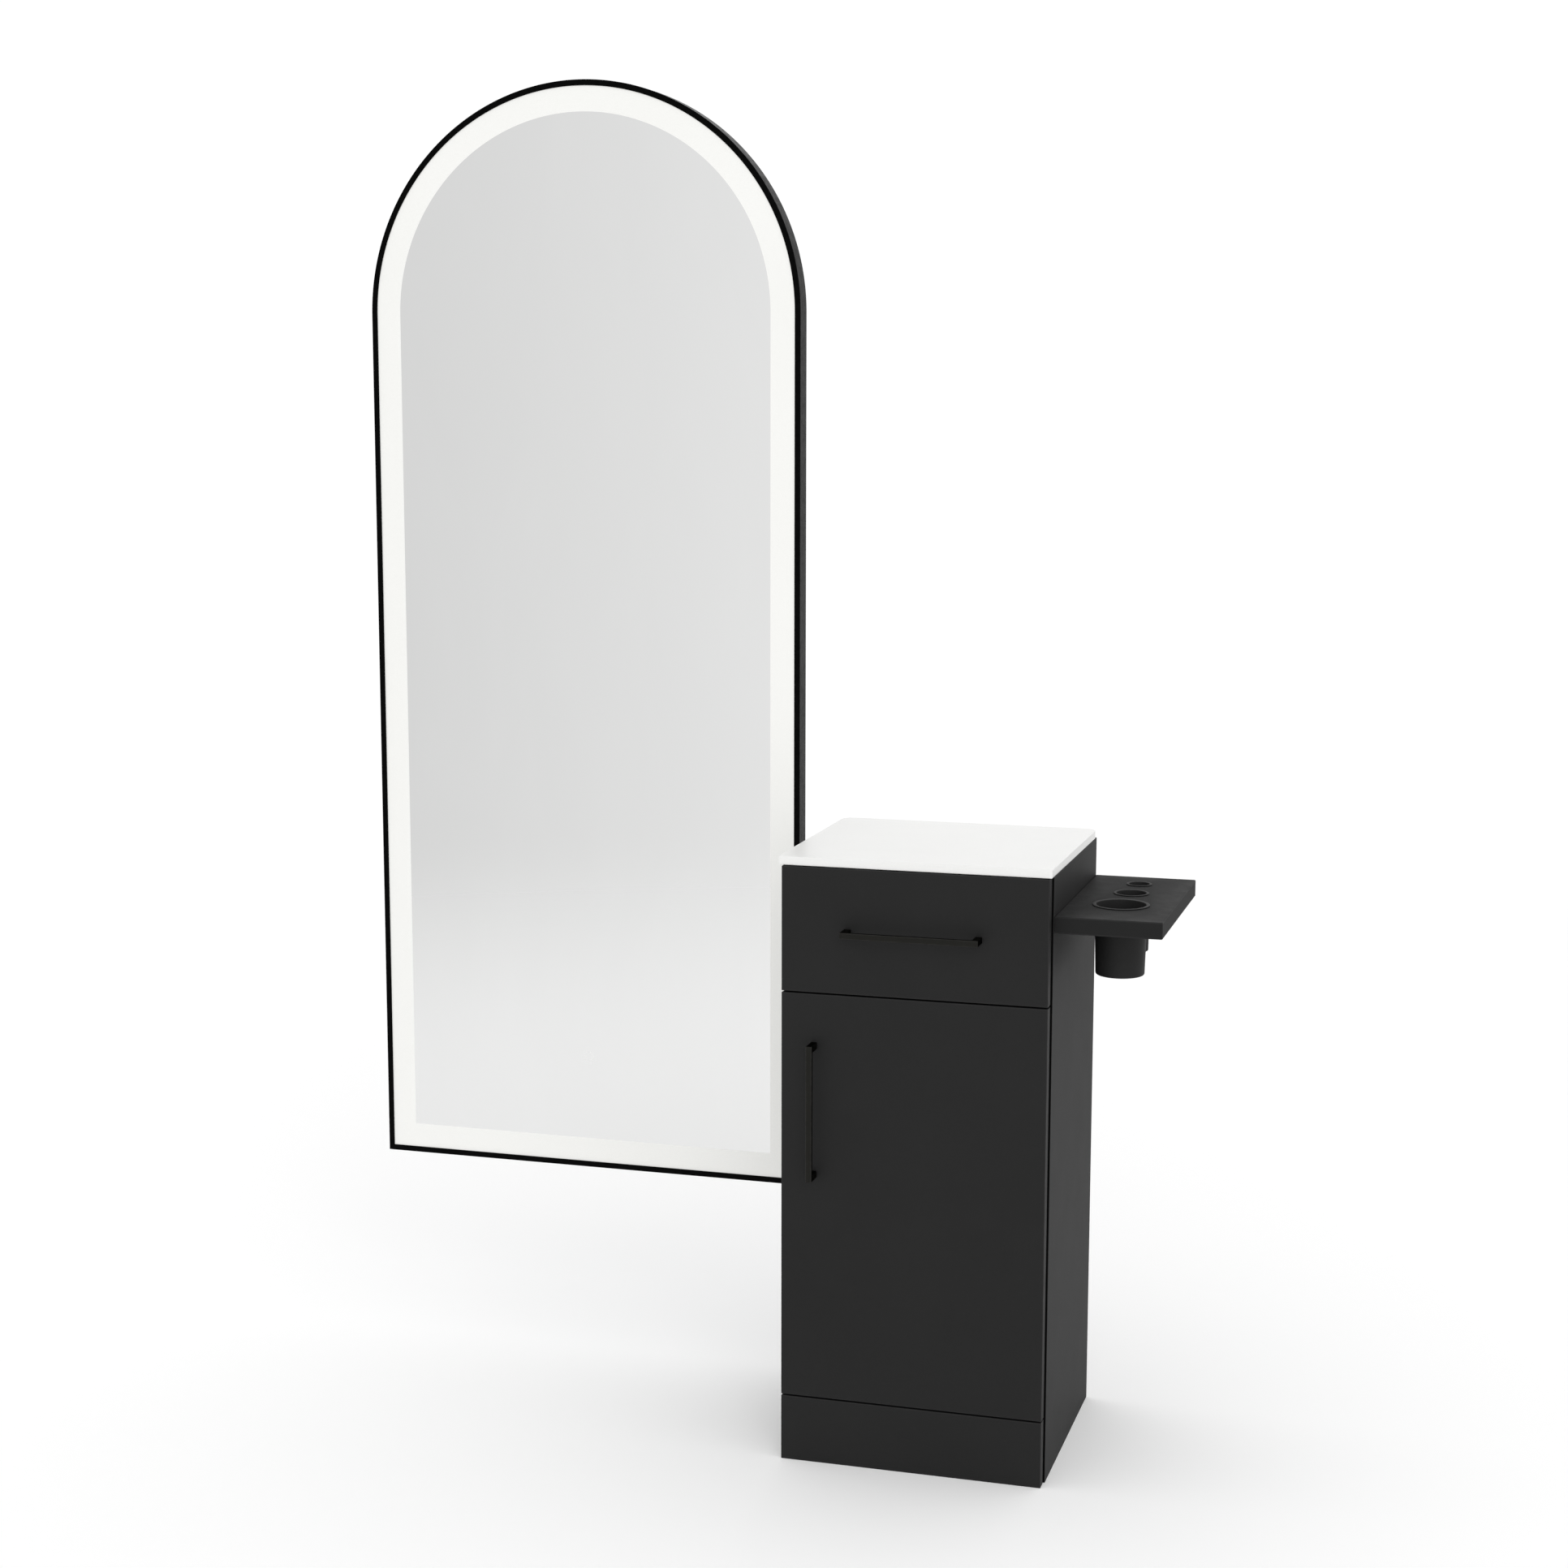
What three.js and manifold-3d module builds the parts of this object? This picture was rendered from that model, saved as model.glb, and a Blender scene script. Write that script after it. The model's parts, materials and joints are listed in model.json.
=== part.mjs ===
// Salon styling station: wall mirror with a light band, drawer-and-door
// cabinet with a stone top, and a side shelf that holds three tool cups.
//
// Millimetres, +Z up. The wall plane is +Y, the fronts face -Y, +X is to the
// right for somebody standing in front of the station. All positions below
// are counted from the lower left corner of the fronts on the wall plane; the
// outer group then moves the origin to the middle of the footprint at floor
// level.

import * as THREE from 'three';
import { mergeVertices } from 'three/addons/utils/BufferGeometryUtils.js';
import Module from 'manifold-3d';

const wasm = await Module();
wasm.setup();

// ---------------------------------------------------------------- dimensions

const FIT = 0.3;                 // gap between pieces that rest on each other

// fronts and carcass
const FRONT_W = 401;             // width of drawer front, door and plinth
const FRONT_T = 18;              // thickness of the fronts
const FRONT_Y = -380.3;          // outer face of the fronts
const FRONT_GAP = 3.8;           // fronts to carcass front edges
const FRONT_BACK = FRONT_Y + FRONT_T;
const CASE_FRONT = FRONT_BACK + FRONT_GAP;
const BOARD = 18;                // carcass board thickness
const SIDE_OUT = 2.5;            // side panels stand this far past the fronts
const SIDE_L0 = -SIDE_OUT, SIDE_L1 = SIDE_L0 + BOARD;
const SIDE_R1 = FRONT_W + SIDE_OUT, SIDE_R0 = SIDE_R1 - BOARD;
const BAY_L = SIDE_L1 + FIT, BAY_R = SIDE_R0 - FIT;

// heights
const PLINTH_TOP = 100.7;
const DOOR_Z0 = 103.3, DOOR_Z1 = 727.1;
const DRAWER_Z0 = 729.7, DRAWER_Z1 = 917.6;
const CASE_TOP = 918.3;
const TOP_Z0 = 918.6, TOP_T = 13;

// stone top
const TOP_X0 = -6.5, TOP_X1 = 403.7, TOP_Y0 = -377.8;
const TOP_R_BACK = 18, TOP_R_FRONT = 4;

// carcass inner boards
const BACK_Y0 = -20, BACK_T = 8;
const RAIL_H = 90;
const BOTTOM_Z = 100, DIVIDER_Z = 719.4;
const SHELF_Z = 420, SHELF_FRONT = -340;
const PIN_R = 2.5, PIN_HOLE_R = 2.8;
const PIN_Y = [-300, -60];
const PIN_ROWS = [-64, 0, 64];   // spare hole rows about the used one

// drawer box
const BOX_GAP = 13;              // side of box to side of case
const BOX_T = 15;
const BOX_Z0 = 755, BOX_Z1 = 875;
const BOX_Y0 = FRONT_BACK + FIT, BOX_Y1 = BOX_Y0 + 320;
const BOX_L = SIDE_L1 + BOX_GAP, BOX_R = SIDE_R0 - BOX_GAP;

// telescopic slides
const SLIDE_LEN = 300, SLIDE_Y0 = -355, SLIDE_Z = 812, SLIDE_WALL = 1.2;

// pulls
const PULL_LEN = 207, PULL_W = 9.3, PULL_T = 6, PULL_OUT = 30, PULL_LEG = 10;
const DRAWER_PULL_X = 199.5, DRAWER_PULL_Z = 823.3;
const DOOR_PULL_X = 50.5, DOOR_PULL_Z = 550.7;
const SCREW_R = 2, SCREW_HOLE_R = 2.4;

// cup hinges
const HINGE_Z = [205, 625];      // lower, upper
const CUP_X = FRONT_W - 22.5, CUP_R = 17.5, CUP_DEPTH = 11.5, CUP_WALL = 1.2;
const LINK_X = 382, LINK_Y = -361;   // link pivot on the arm nose

// tool shelf and cups
const TOOL_X0 = SIDE_R1 + FIT, TOOL_X1 = 560;
const TOOL_Y0 = -354, TOOL_Z0 = 833.9, TOOL_Z1 = 858.9;
const CUP_AXIS_X = 481.7;
const CUPS = [
  // name, y, flange radius, mouth radius outside, foot radius outside, wall, segments
  ['tool_cup_large', -238, 42.4, 39.2, 36.4, 2.4, 36],
  ['tool_cup_medium', -142.5, 26.8, 24.4, 22.6, 1.9, 30],
  ['tool_cup_small', -64.5, 19.6, 17.2, 15.8, 1.7, 26],
];
const CUP_LEN = 104, CUP_FLANGE_T = 1.5;

// mirror
const MIR_X0 = -801.4, MIR_X1 = -71.3, MIR_Z0 = 323.6, MIR_Z1 = 2097.3;
const MIR_Y = -36.9;             // front face of the frame
const MIR_CX = (MIR_X0 + MIR_X1) / 2, MIR_R = (MIR_X1 - MIR_X0) / 2;
const FRAME_DEPTH = 35, FRAME_FACE = 9.5, FRAME_WALL = 1.8, FRAME_LIP = 1.6;
const LEDGE_V = 28, LEDGE_T = 1.6, LEDGE_W = 12;
const GLASS_V = 1.9, GLASS_T = 4, GLASS_IN = 2.1;
const PLATE_V = 29.9, PLATE_T = 2;
const STRIP_IN = 24, STRIP_W = 10, STRIP_T = 2;
const ARC_STEPS = 56;
const TOUCH_Z = 511.7;

// ----------------------------------------------------------------- materials

const mat = (color, roughness, metalness = 0) =>
  new THREE.MeshStandardMaterial({ color, roughness, metalness });
const FRONT = mat(0x2b2b2b, 0.55);
const CASE = mat(0x3c3c3d, 0.5);
const INNER = mat(0x4a4a4b, 0.6);
const STONE = mat(0xf1f1ef, 0.25);
const BLACK_METAL = mat(0x111110, 0.35, 0.6);
const STEEL = mat(0xb8babd, 0.3, 0.9);
const CUP_PLASTIC = mat(0x2c2c2d, 0.5);
const FRAME = mat(0x0a0a0a, 0.4, 0.5);
const MIRROR = mat(0xe4e8e8, 0.03, 1);
const ALU = mat(0xa9acb0, 0.45, 0.8);
const LED = mat(0xf6f4e6, 0.5);
const PLASTIC = mat(0x202020, 0.6);
const WHITE_PLASTIC = mat(0xdcdcd8, 0.5);

// ------------------------------------------------------------------- helpers

const station = new THREE.Group();
station.name = 'salon_styling_station';

function add(name, geometry, material, x = 0, y = 0, z = 0, parent = station) {
  const mesh = new THREE.Mesh(geometry, material);
  mesh.name = name;
  mesh.position.set(x, y, z);
  parent.add(mesh);
  return mesh;
}

// welded copy of a geometry with its faces turned outwards
function weld(geometry) {
  const bare = geometry.clone();
  bare.deleteAttribute('normal');
  bare.deleteAttribute('uv');
  const g = mergeVertices(bare, 1e-4);
  const p = g.attributes.position.array, src = g.index.array;
  const idx = [];
  for (let i = 0; i < src.length; i += 3) {
    if (src[i] !== src[i + 1] && src[i + 1] !== src[i + 2] && src[i] !== src[i + 2]) {
      idx.push(src[i], src[i + 1], src[i + 2]);
    }
  }
  let volume = 0;
  for (let i = 0; i < idx.length; i += 3) {
    const [a, b, c] = [idx[i] * 3, idx[i + 1] * 3, idx[i + 2] * 3];
    volume += p[a] * (p[b + 1] * p[c + 2] - p[b + 2] * p[c + 1])
      - p[a + 1] * (p[b] * p[c + 2] - p[b + 2] * p[c])
      + p[a + 2] * (p[b] * p[c + 1] - p[b + 1] * p[c]);
  }
  if (volume < 0) {
    for (let i = 0; i < idx.length; i += 3) [idx[i + 1], idx[i + 2]] = [idx[i + 2], idx[i + 1]];
  }
  g.setIndex(idx);
  return g;
}

function solid(geometry) {
  const g = weld(geometry);
  return new wasm.Manifold(new wasm.Mesh({
    numProp: 3,
    vertProperties: new Float32Array(g.attributes.position.array),
    triVerts: new Uint32Array(g.index.array),
  }));
}

function shape(manifold) {
  const m = manifold.getMesh();
  const g = new THREE.BufferGeometry();
  g.setAttribute('position', new THREE.BufferAttribute(new Float32Array(m.vertProperties), 3));
  g.setIndex(new THREE.BufferAttribute(new Uint32Array(m.triVerts), 1));
  const flat = g.toNonIndexed();
  flat.computeVertexNormals();
  return flat;
}

const cut = (geometry, ...tools) =>
  shape(tools.reduce((s, t) => s.subtract(solid(t)), solid(geometry)));
const join = (geometry, ...others) =>
  shape(others.reduce((s, t) => s.add(solid(t)), solid(geometry)));

// box between two corners
function block(x0, x1, y0, y1, z0, z1) {
  return new THREE.BoxGeometry(x1 - x0, y1 - y0, z1 - z0)
    .translate((x0 + x1) / 2, (y0 + y1) / 2, (z0 + z1) / 2);
}

// flat board as its own mesh: centred geometry, placed by position
function board(name, material, x0, x1, y0, y1, z0, z1) {
  return add(name, new THREE.BoxGeometry(x1 - x0, y1 - y0, z1 - z0), material,
    (x0 + x1) / 2, (y0 + y1) / 2, (z0 + z1) / 2);
}

// round bar along an axis, starting at a point
function bar(axis, r, length, x, y, z, segments = 12) {
  const g = new THREE.CylinderGeometry(r, r, length, segments);
  if (axis === 'x') g.rotateZ(-Math.PI / 2).translate(length / 2, 0, 0);
  if (axis === 'y') g.translate(0, length / 2, 0);
  if (axis === 'z') g.rotateX(Math.PI / 2).translate(0, 0, length / 2);
  return g.translate(x, y, z);
}

function polygon(points) {
  const s = new THREE.Shape();
  s.moveTo(points[0][0], points[0][1]);
  for (let i = 1; i < points.length; i++) s.lineTo(points[i][0], points[i][1]);
  s.closePath();
  return s;
}

const extrude = (s, depth, options = {}) =>
  new THREE.ExtrudeGeometry(s, { depth, bevelEnabled: false, ...options });

// section in (y, z) extruded along +X from x
function alongX(points, x, length) {
  return extrude(polygon(points), length)
    .applyMatrix4(new THREE.Matrix4().set(0, 0, 1, x, 1, 0, 0, 0, 0, 1, 0, 0, 0, 0, 0, 1));
}

// section in (x, z) extruded along +Y from y
function alongY(points, y, length) {
  return extrude(polygon(points), length).rotateX(Math.PI / 2).translate(0, y + length, 0);
}

// rectangle with a rounded radius at each corner: front-left, front-right,
// back-right, back-left
function roundedOutline(x0, x1, y0, y1, radii, steps = 5) {
  const corners = [[x0, y0, Math.PI, radii[0]], [x1, y0, -Math.PI / 2, radii[1]],
    [x1, y1, 0, radii[2]], [x0, y1, Math.PI / 2, radii[3]]];
  const points = [];
  for (const [cx, cy, from, r] of corners) {
    const ox = cx === x0 ? cx + r : cx - r, oy = cy === y0 ? cy + r : cy - r;
    for (let i = 0; i <= steps; i++) {
      const a = from + (Math.PI / 2) * (i / steps);
      points.push([ox + r * Math.cos(a), oy + r * Math.sin(a)]);
    }
  }
  return points;
}

// ------------------------------------------------------------------- carcass

const shelfPinHole = (side) => PIN_Y.flatMap((y) => PIN_ROWS.map((dz) =>
  side === 'left'
    ? bar('x', PIN_HOLE_R, 12, SIDE_L1 - 10, y, SHELF_Z - PIN_R + dz, 8)
    : bar('x', PIN_HOLE_R, 12, SIDE_R0 - 2, y, SHELF_Z - PIN_R + dz, 8)));
const TOOL_BOLT_Y = [-300, -50], TOOL_BOLT_Z = (TOOL_Z0 + TOOL_Z1) / 2;

add('side_panel_left', cut(block(SIDE_L0, SIDE_L1, CASE_FRONT, 0, 0, CASE_TOP),
  ...shelfPinHole('left')), CASE);
add('side_panel_right', cut(block(SIDE_R0, SIDE_R1, CASE_FRONT, 0, 0, CASE_TOP),
  ...shelfPinHole('right'),
  ...TOOL_BOLT_Y.map((y) => bar('x', 3.6, BOARD + 4, SIDE_R0 - 2, y, TOOL_BOLT_Z))), CASE);
board('bottom_panel', INNER, BAY_L, BAY_R, CASE_FRONT, BACK_Y0 - FIT, BOTTOM_Z, BOTTOM_Z + BOARD);
board('divider_panel', INNER, BAY_L, BAY_R, CASE_FRONT, BACK_Y0 - FIT, DIVIDER_Z, DIVIDER_Z + BOARD);
board('top_rail_front', INNER, BAY_L, BAY_R, CASE_FRONT, CASE_FRONT + RAIL_H, CASE_TOP - BOARD, CASE_TOP);
board('wall_rail', INNER, BAY_L, BAY_R, -BOARD, 0, CASE_TOP - RAIL_H, CASE_TOP);
board('back_panel', INNER, BAY_L, BAY_R, BACK_Y0, BACK_Y0 + BACK_T, 60, CASE_TOP - RAIL_H - FIT);
board('adjustable_shelf', INNER, BAY_L + 1, BAY_R - 1, SHELF_FRONT, BACK_Y0 - 2, SHELF_Z + FIT, SHELF_Z + FIT + BOARD);

// shelf pins: a peg in the side panel and a flat tongue under the shelf
PIN_Y.forEach((y, i) => {
  const where = i === 0 ? 'front' : 'back';
  const z = SHELF_Z - PIN_R;
  add(`shelf_pin_${where}_left`, join(bar('x', PIN_R, 17, -8.5, 0, 0, 12),
    block(0.3, 1.8, -4, 4, -9, PIN_R)), STEEL, SIDE_L1, y, z);
  add(`shelf_pin_${where}_right`, join(bar('x', PIN_R, 17, -8.5, 0, 0, 12),
    block(-1.8, -0.3, -4, 4, -9, PIN_R)), STEEL, SIDE_R0, y, z);
});

// plinth board on two angle brackets
board('plinth_panel', FRONT, 0, FRONT_W, FRONT_Y, FRONT_BACK, 0, PLINTH_TOP);
const angle = (s) => join(block(0, 1.6, -44 + FIT, 0, -15, 15),
  block(-0.1, 1.6, -44 + FIT, -42.4 + FIT, -15, 15),
  block(0, 26, -44 + FIT, -42.4 + FIT, -15, 15)).scale(s, 1, 1);
add('plinth_bracket_left', angle(1), STEEL, SIDE_L1 + FIT, FRONT_BACK + 44, 52);
add('plinth_bracket_right', shape(solid(angle(1)).mirror([1, 0, 0])), STEEL, SIDE_R0 - FIT, FRONT_BACK + 44, 52);

// stone top with rounded back corners and a fine arris
{
  const edge = 0.8;
  const outline = roundedOutline(TOP_X0 + edge, TOP_X1 - edge, TOP_Y0 + edge, -edge,
    [TOP_R_FRONT, TOP_R_FRONT, TOP_R_BACK, TOP_R_BACK]);
  add('countertop', extrude(polygon(outline), TOP_T - 2 * edge,
    { bevelEnabled: true, bevelThickness: edge, bevelSize: edge, bevelSegments: 1 }),
  STONE, 0, 0, TOP_Z0 + edge);
}

// -------------------------------------------------------------------- drawer

const drawerScrewX = [-1, 1].map((s) => DRAWER_PULL_X + s * (PULL_LEN - PULL_LEG) / 2);
const doorScrewZ = [-1, 1].map((s) => DOOR_PULL_Z + s * (PULL_LEN - PULL_LEG) / 2);

add('drawer_front', cut(block(0, FRONT_W, FRONT_Y, FRONT_BACK, DRAWER_Z0, DRAWER_Z1),
  ...drawerScrewX.map((x) => bar('y', SCREW_HOLE_R, FRONT_T + 4, x, FRONT_Y - 2, DRAWER_PULL_Z))), FRONT);
add('drawer_inner_front', cut(
  block(BOX_L + BOX_T + FIT, BOX_R - BOX_T - FIT, BOX_Y0, BOX_Y0 + BOX_T, BOX_Z0, BOX_Z1),
  ...drawerScrewX.map((x) => bar('y', SCREW_HOLE_R, BOX_T + 4, x, BOX_Y0 - 2, DRAWER_PULL_Z))), INNER);
board('drawer_side_left', INNER, BOX_L, BOX_L + BOX_T, BOX_Y0, BOX_Y1, BOX_Z0, BOX_Z1);
board('drawer_side_right', INNER, BOX_R - BOX_T, BOX_R, BOX_Y0, BOX_Y1, BOX_Z0, BOX_Z1);
board('drawer_back', INNER, BOX_L + BOX_T + FIT, BOX_R - BOX_T - FIT, BOX_Y1 - BOX_T, BOX_Y1, BOX_Z0, BOX_Z1);
board('drawer_bottom', INNER, BOX_L + BOX_T + FIT, BOX_R - BOX_T - FIT,
  BOX_Y0 + BOX_T + FIT, BOX_Y1 - BOX_T - FIT, BOX_Z0 + 6, BOX_Z0 + 14);

// three-member telescopic slides, one channel inside the next
function channel(open, x0, x1, h) {
  // open = +1: the mouth of the channel faces +X
  const t = SLIDE_WALL;
  const pts = open > 0
    ? [[x0, -h], [x1, -h], [x1, -h + t], [x0 + t, -h + t], [x0 + t, h - t], [x1, h - t], [x1, h], [x0, h]]
    : [[x1, -h], [x1, h], [x0, h], [x0, h - t], [x1 - t, h - t], [x1 - t, -h + t], [x0, -h + t], [x0, -h]];
  return alongY(pts, 0, SLIDE_LEN);
}
for (const side of ['left', 'right']) {
  const s = side === 'left' ? 1 : -1;
  const x = side === 'left' ? SIDE_L1 : SIDE_R0;
  const member = (open, a, b, h) => (s > 0
    ? channel(open, a, b, h) : channel(-open, -b, -a, h));
  add(`slide_case_member_${side}`, member(1, FIT, 10.5, 22.8), STEEL, x, SLIDE_Y0, SLIDE_Z);
  add(`slide_middle_member_${side}`, member(1, 3.0, 11.3, 19.6), STEEL, x, SLIDE_Y0, SLIDE_Z);
  add(`slide_drawer_member_${side}`, member(-1, 5.4, 12.7, 16.4), STEEL, x, SLIDE_Y0, SLIDE_Z);
}

// --------------------------------------------------------------------- pulls

// flat bar on two end legs, drawn lying along X with its face towards -Y
function pull() {
  const l = PULL_LEN / 2, c = 1.2;
  const outline = [[-l, -FIT], [-l, -PULL_OUT + c], [-l + c, -PULL_OUT], [l - c, -PULL_OUT],
    [l, -PULL_OUT + c], [l, -FIT], [l - PULL_LEG, -FIT], [l - PULL_LEG, -PULL_OUT + PULL_T],
    [-l + PULL_LEG, -PULL_OUT + PULL_T], [-l + PULL_LEG, -FIT]];
  const body = extrude(polygon(outline), PULL_W).translate(0, 0, -PULL_W / 2);
  return cut(body, ...[-1, 1].map((s) =>
    bar('y', SCREW_HOLE_R, 14, s * (l - PULL_LEG / 2), -12, 0)));
}
add('drawer_pull', pull(), BLACK_METAL, DRAWER_PULL_X, FRONT_Y, DRAWER_PULL_Z);
add('door_pull', pull(), BLACK_METAL, DOOR_PULL_X, FRONT_Y, DOOR_PULL_Z).rotation.y = Math.PI / 2;

// pan-head screw along -Y, head face at the origin plane
const screw = (length) => join(bar('y', SCREW_R, length, 0, -length, 0),
  bar('y', 4, 2.4, 0, FIT, 0, 14), bar('y', SCREW_R, 1, 0, -0.5, 0));
['left', 'right'].forEach((side, i) => add(`drawer_pull_screw_${side}`,
  screw(42), STEEL, drawerScrewX[i], BOX_Y0 + BOX_T, DRAWER_PULL_Z));
['lower', 'upper'].forEach((side, i) => add(`door_pull_screw_${side}`,
  screw(26), STEEL, DOOR_PULL_X, FRONT_BACK, doorScrewZ[i]));

// ---------------------------------------------------------- door and hinges

add('door_panel', cut(block(0, FRONT_W, FRONT_Y, FRONT_BACK, DOOR_Z0, DOOR_Z1),
  ...doorScrewZ.map((z) => bar('y', SCREW_HOLE_R, FRONT_T + 4, DOOR_PULL_X, FRONT_Y - 2, z)),
  ...HINGE_Z.map((z) => bar('y', CUP_R + 0.4, CUP_DEPTH + FIT + 2, CUP_X,
    FRONT_BACK - CUP_DEPTH - FIT, z, 28))), FRONT);

// hinge cup: bowl let into the door, rim with two screw wings
function hingeCup() {
  const r = CUP_R, w = CUP_WALL, flange = 1.0;
  const bowl = new THREE.LatheGeometry([
    [0, -CUP_DEPTH], [r, -CUP_DEPTH], [r, FIT], [r + 1.6, FIT], [r + 1.6, FIT + flange],
    [r - w, FIT + flange], [r - w, -CUP_DEPTH + w], [0, -CUP_DEPTH + w],
  ].map(([a, b]) => new THREE.Vector2(a, b)), 28);
  const wing = (s) => extrude(polygon([[-13, s * 14], [9, s * 14], [9, s * 26], [5, s * 30],
    [-9, s * 30], [-13, s * 26]]), flange)
    .applyMatrix4(new THREE.Matrix4().set(1, 0, 0, 0, 0, 0, 1, FIT, 0, 1, 0, 0, 0, 0, 0, 1));
  const hollow = bar('y', r - w, 20, 0, -CUP_DEPTH + w, 0, 28);
  const wings = solid(wing(1)).add(solid(wing(-1))).subtract(solid(hollow));
  return shape(solid(bowl).add(wings));
}
// hinge arm: channel that opens towards the side panel, with a rounded nose
function hingeArm() {
  const back = 58, x0 = -11, x1 = 1.4;
  const side = [[x1, 3.4], [x1, back], [x0, back], [x0, 8]];
  for (let i = 0; i <= 6; i++) {
    const a = Math.PI + (Math.PI * i) / 6;
    side.push([2.4 * Math.cos(a) * 1, 2.4 * Math.sin(a)]);
  }
  const wall = (z0, z1) => extrude(polygon(side), z1 - z0).translate(0, 0, z0);
  const pin = bar('z', 1.3, 18, 0, 0, -9, 10);
  return join(wall(-9, -7.4), wall(7.4, 9), block(x0, x0 + 1.5, 12, back, -9, 9), pin);
}
// cross-shaped mounting plate on the side panel
const hingePlate = () => join(
  extrude(polygon([[-2, -22], [2, -24], [10, -24], [14, -20], [14, -9.5], [30, -9.5], [30, 9.5],
    [14, 9.5], [14, 20], [10, 24], [2, 24], [-2, 22]]), 1.6)
    .applyMatrix4(new THREE.Matrix4().set(0, 0, -1, 0, 1, 0, 0, 0, 0, 1, 0, 0, 0, 0, 0, 1)));
// banana link that swings out of the arm nose into the cup
function hingeLink() {
  const mid = [[0, 0], [-6, 1.1], [-11, 0], [-14.8, -3.6], [-17, -7.6]];
  const t = 0.9, left = [], right = [];
  mid.forEach((p, i) => {
    const a = mid[Math.max(0, i - 1)], b = mid[Math.min(mid.length - 1, i + 1)];
    const d = Math.hypot(b[0] - a[0], b[1] - a[1]);
    const n = [-(b[1] - a[1]) / d, (b[0] - a[0]) / d];
    left.push([p[0] + n[0] * t, p[1] + n[1] * t]);
    right.push([p[0] - n[0] * t, p[1] - n[1] * t]);
  });
  const plate = extrude(polygon([...left, ...right.reverse()]), 11).translate(0, 0, -5.5);
  const boss = bar('z', 2.4, 14, 0, 0, -7, 14);
  return cut(join(plate, boss), bar('z', 1.65, 20, 0, 0, -10, 12));
}
['lower', 'upper'].forEach((which, i) => {
  const z = HINGE_Z[i];
  add(`hinge_cup_${which}`, hingeCup(), STEEL, CUP_X, FRONT_BACK, z);
  add(`hinge_arm_${which}`, hingeArm(), STEEL, LINK_X, LINK_Y, z);
  add(`hinge_link_${which}`, hingeLink(), STEEL, LINK_X, LINK_Y, z);
  add(`hinge_plate_${which}`, hingePlate(), STEEL, SIDE_R0 - FIT, CASE_FRONT + 24, z);
});

// ------------------------------------------------------ tool shelf and cups

const cupHole = ([, y, , mouth, , , seg]) =>
  bar('z', mouth + 0.7, TOOL_Z1 - TOOL_Z0 + 4, CUP_AXIS_X, y, TOOL_Z0 - 2, seg);
add('tool_shelf', cut(
  extrude(polygon(roundedOutline(TOOL_X0, TOOL_X1, TOOL_Y0, 0, [0.6, 2, 3.5, 0.6], 3)),
    TOOL_Z1 - TOOL_Z0).translate(0, 0, TOOL_Z0),
  ...CUPS.map(cupHole),
  ...TOOL_BOLT_Y.map((y) => bar('x', 3.0, 40, TOOL_X0 - 2, y, TOOL_BOLT_Z))), CASE);
TOOL_BOLT_Y.forEach((y, i) => add(`tool_shelf_bolt_${i === 0 ? 'front' : 'back'}`,
  join(bar('x', 2.6, 54, -1, 0, 0), bar('x', 7, 2.2, -FIT - 2.2, 0, 0, 16), bar('x', 2.6, 2, -1.5, 0, 0)),
  STEEL, SIDE_R0, y, TOOL_BOLT_Z));

for (const [name, y, flange, mouth, foot, wall, seg] of CUPS) {
  const top = CUP_FLANGE_T, bottom = -CUP_LEN, r = 4.5;
  const outer = [[0, bottom], [foot - r, bottom]];
  for (let i = 1; i <= 4; i++) {
    const a = -Math.PI / 2 + (Math.PI / 2) * (i / 4);
    outer.push([foot - r + r * Math.cos(a), bottom + r + r * Math.sin(a)]);
  }
  const profile = [...outer, [mouth, -1], [mouth, FIT], [flange, FIT], [flange + 0.2, FIT + 0.6],
    [flange - 0.5, top], [mouth - wall + 1, top], [mouth - wall, top - 1.2],
    [foot - wall, bottom + r], [foot - r, bottom + wall], [0, bottom + wall]];
  add(name, new THREE.LatheGeometry(profile.map(([a, b]) => new THREE.Vector2(a, b)), seg)
    .rotateX(Math.PI / 2), CUP_PLASTIC, CUP_AXIS_X, y, TOOL_Z1);
}
// ------------------------------------------------------------------- mirror

// arched outline, moved inwards by `inset`; x about the mirror's middle, z up
function arch(inset) {
  const r = MIR_R - inset, spring = MIR_Z1 - MIR_R;
  const points = [[-r, MIR_Z0 + inset], [r, MIR_Z0 + inset]];
  for (let i = 0; i <= ARC_STEPS; i++) {
    const a = (Math.PI * i) / ARC_STEPS;
    points.push([r * Math.cos(a), spring + r * Math.sin(a)]);
  }
  return points;
}
// arched slab: v0..v1 counted backwards from the front face of the frame
const archSlab = (inset, v0, v1) => alongY(arch(inset), MIR_Y + v0, v1 - v0);

const mirror = new THREE.Group();
mirror.position.set(MIR_CX, 0, 0);
station.add(mirror);

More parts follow.
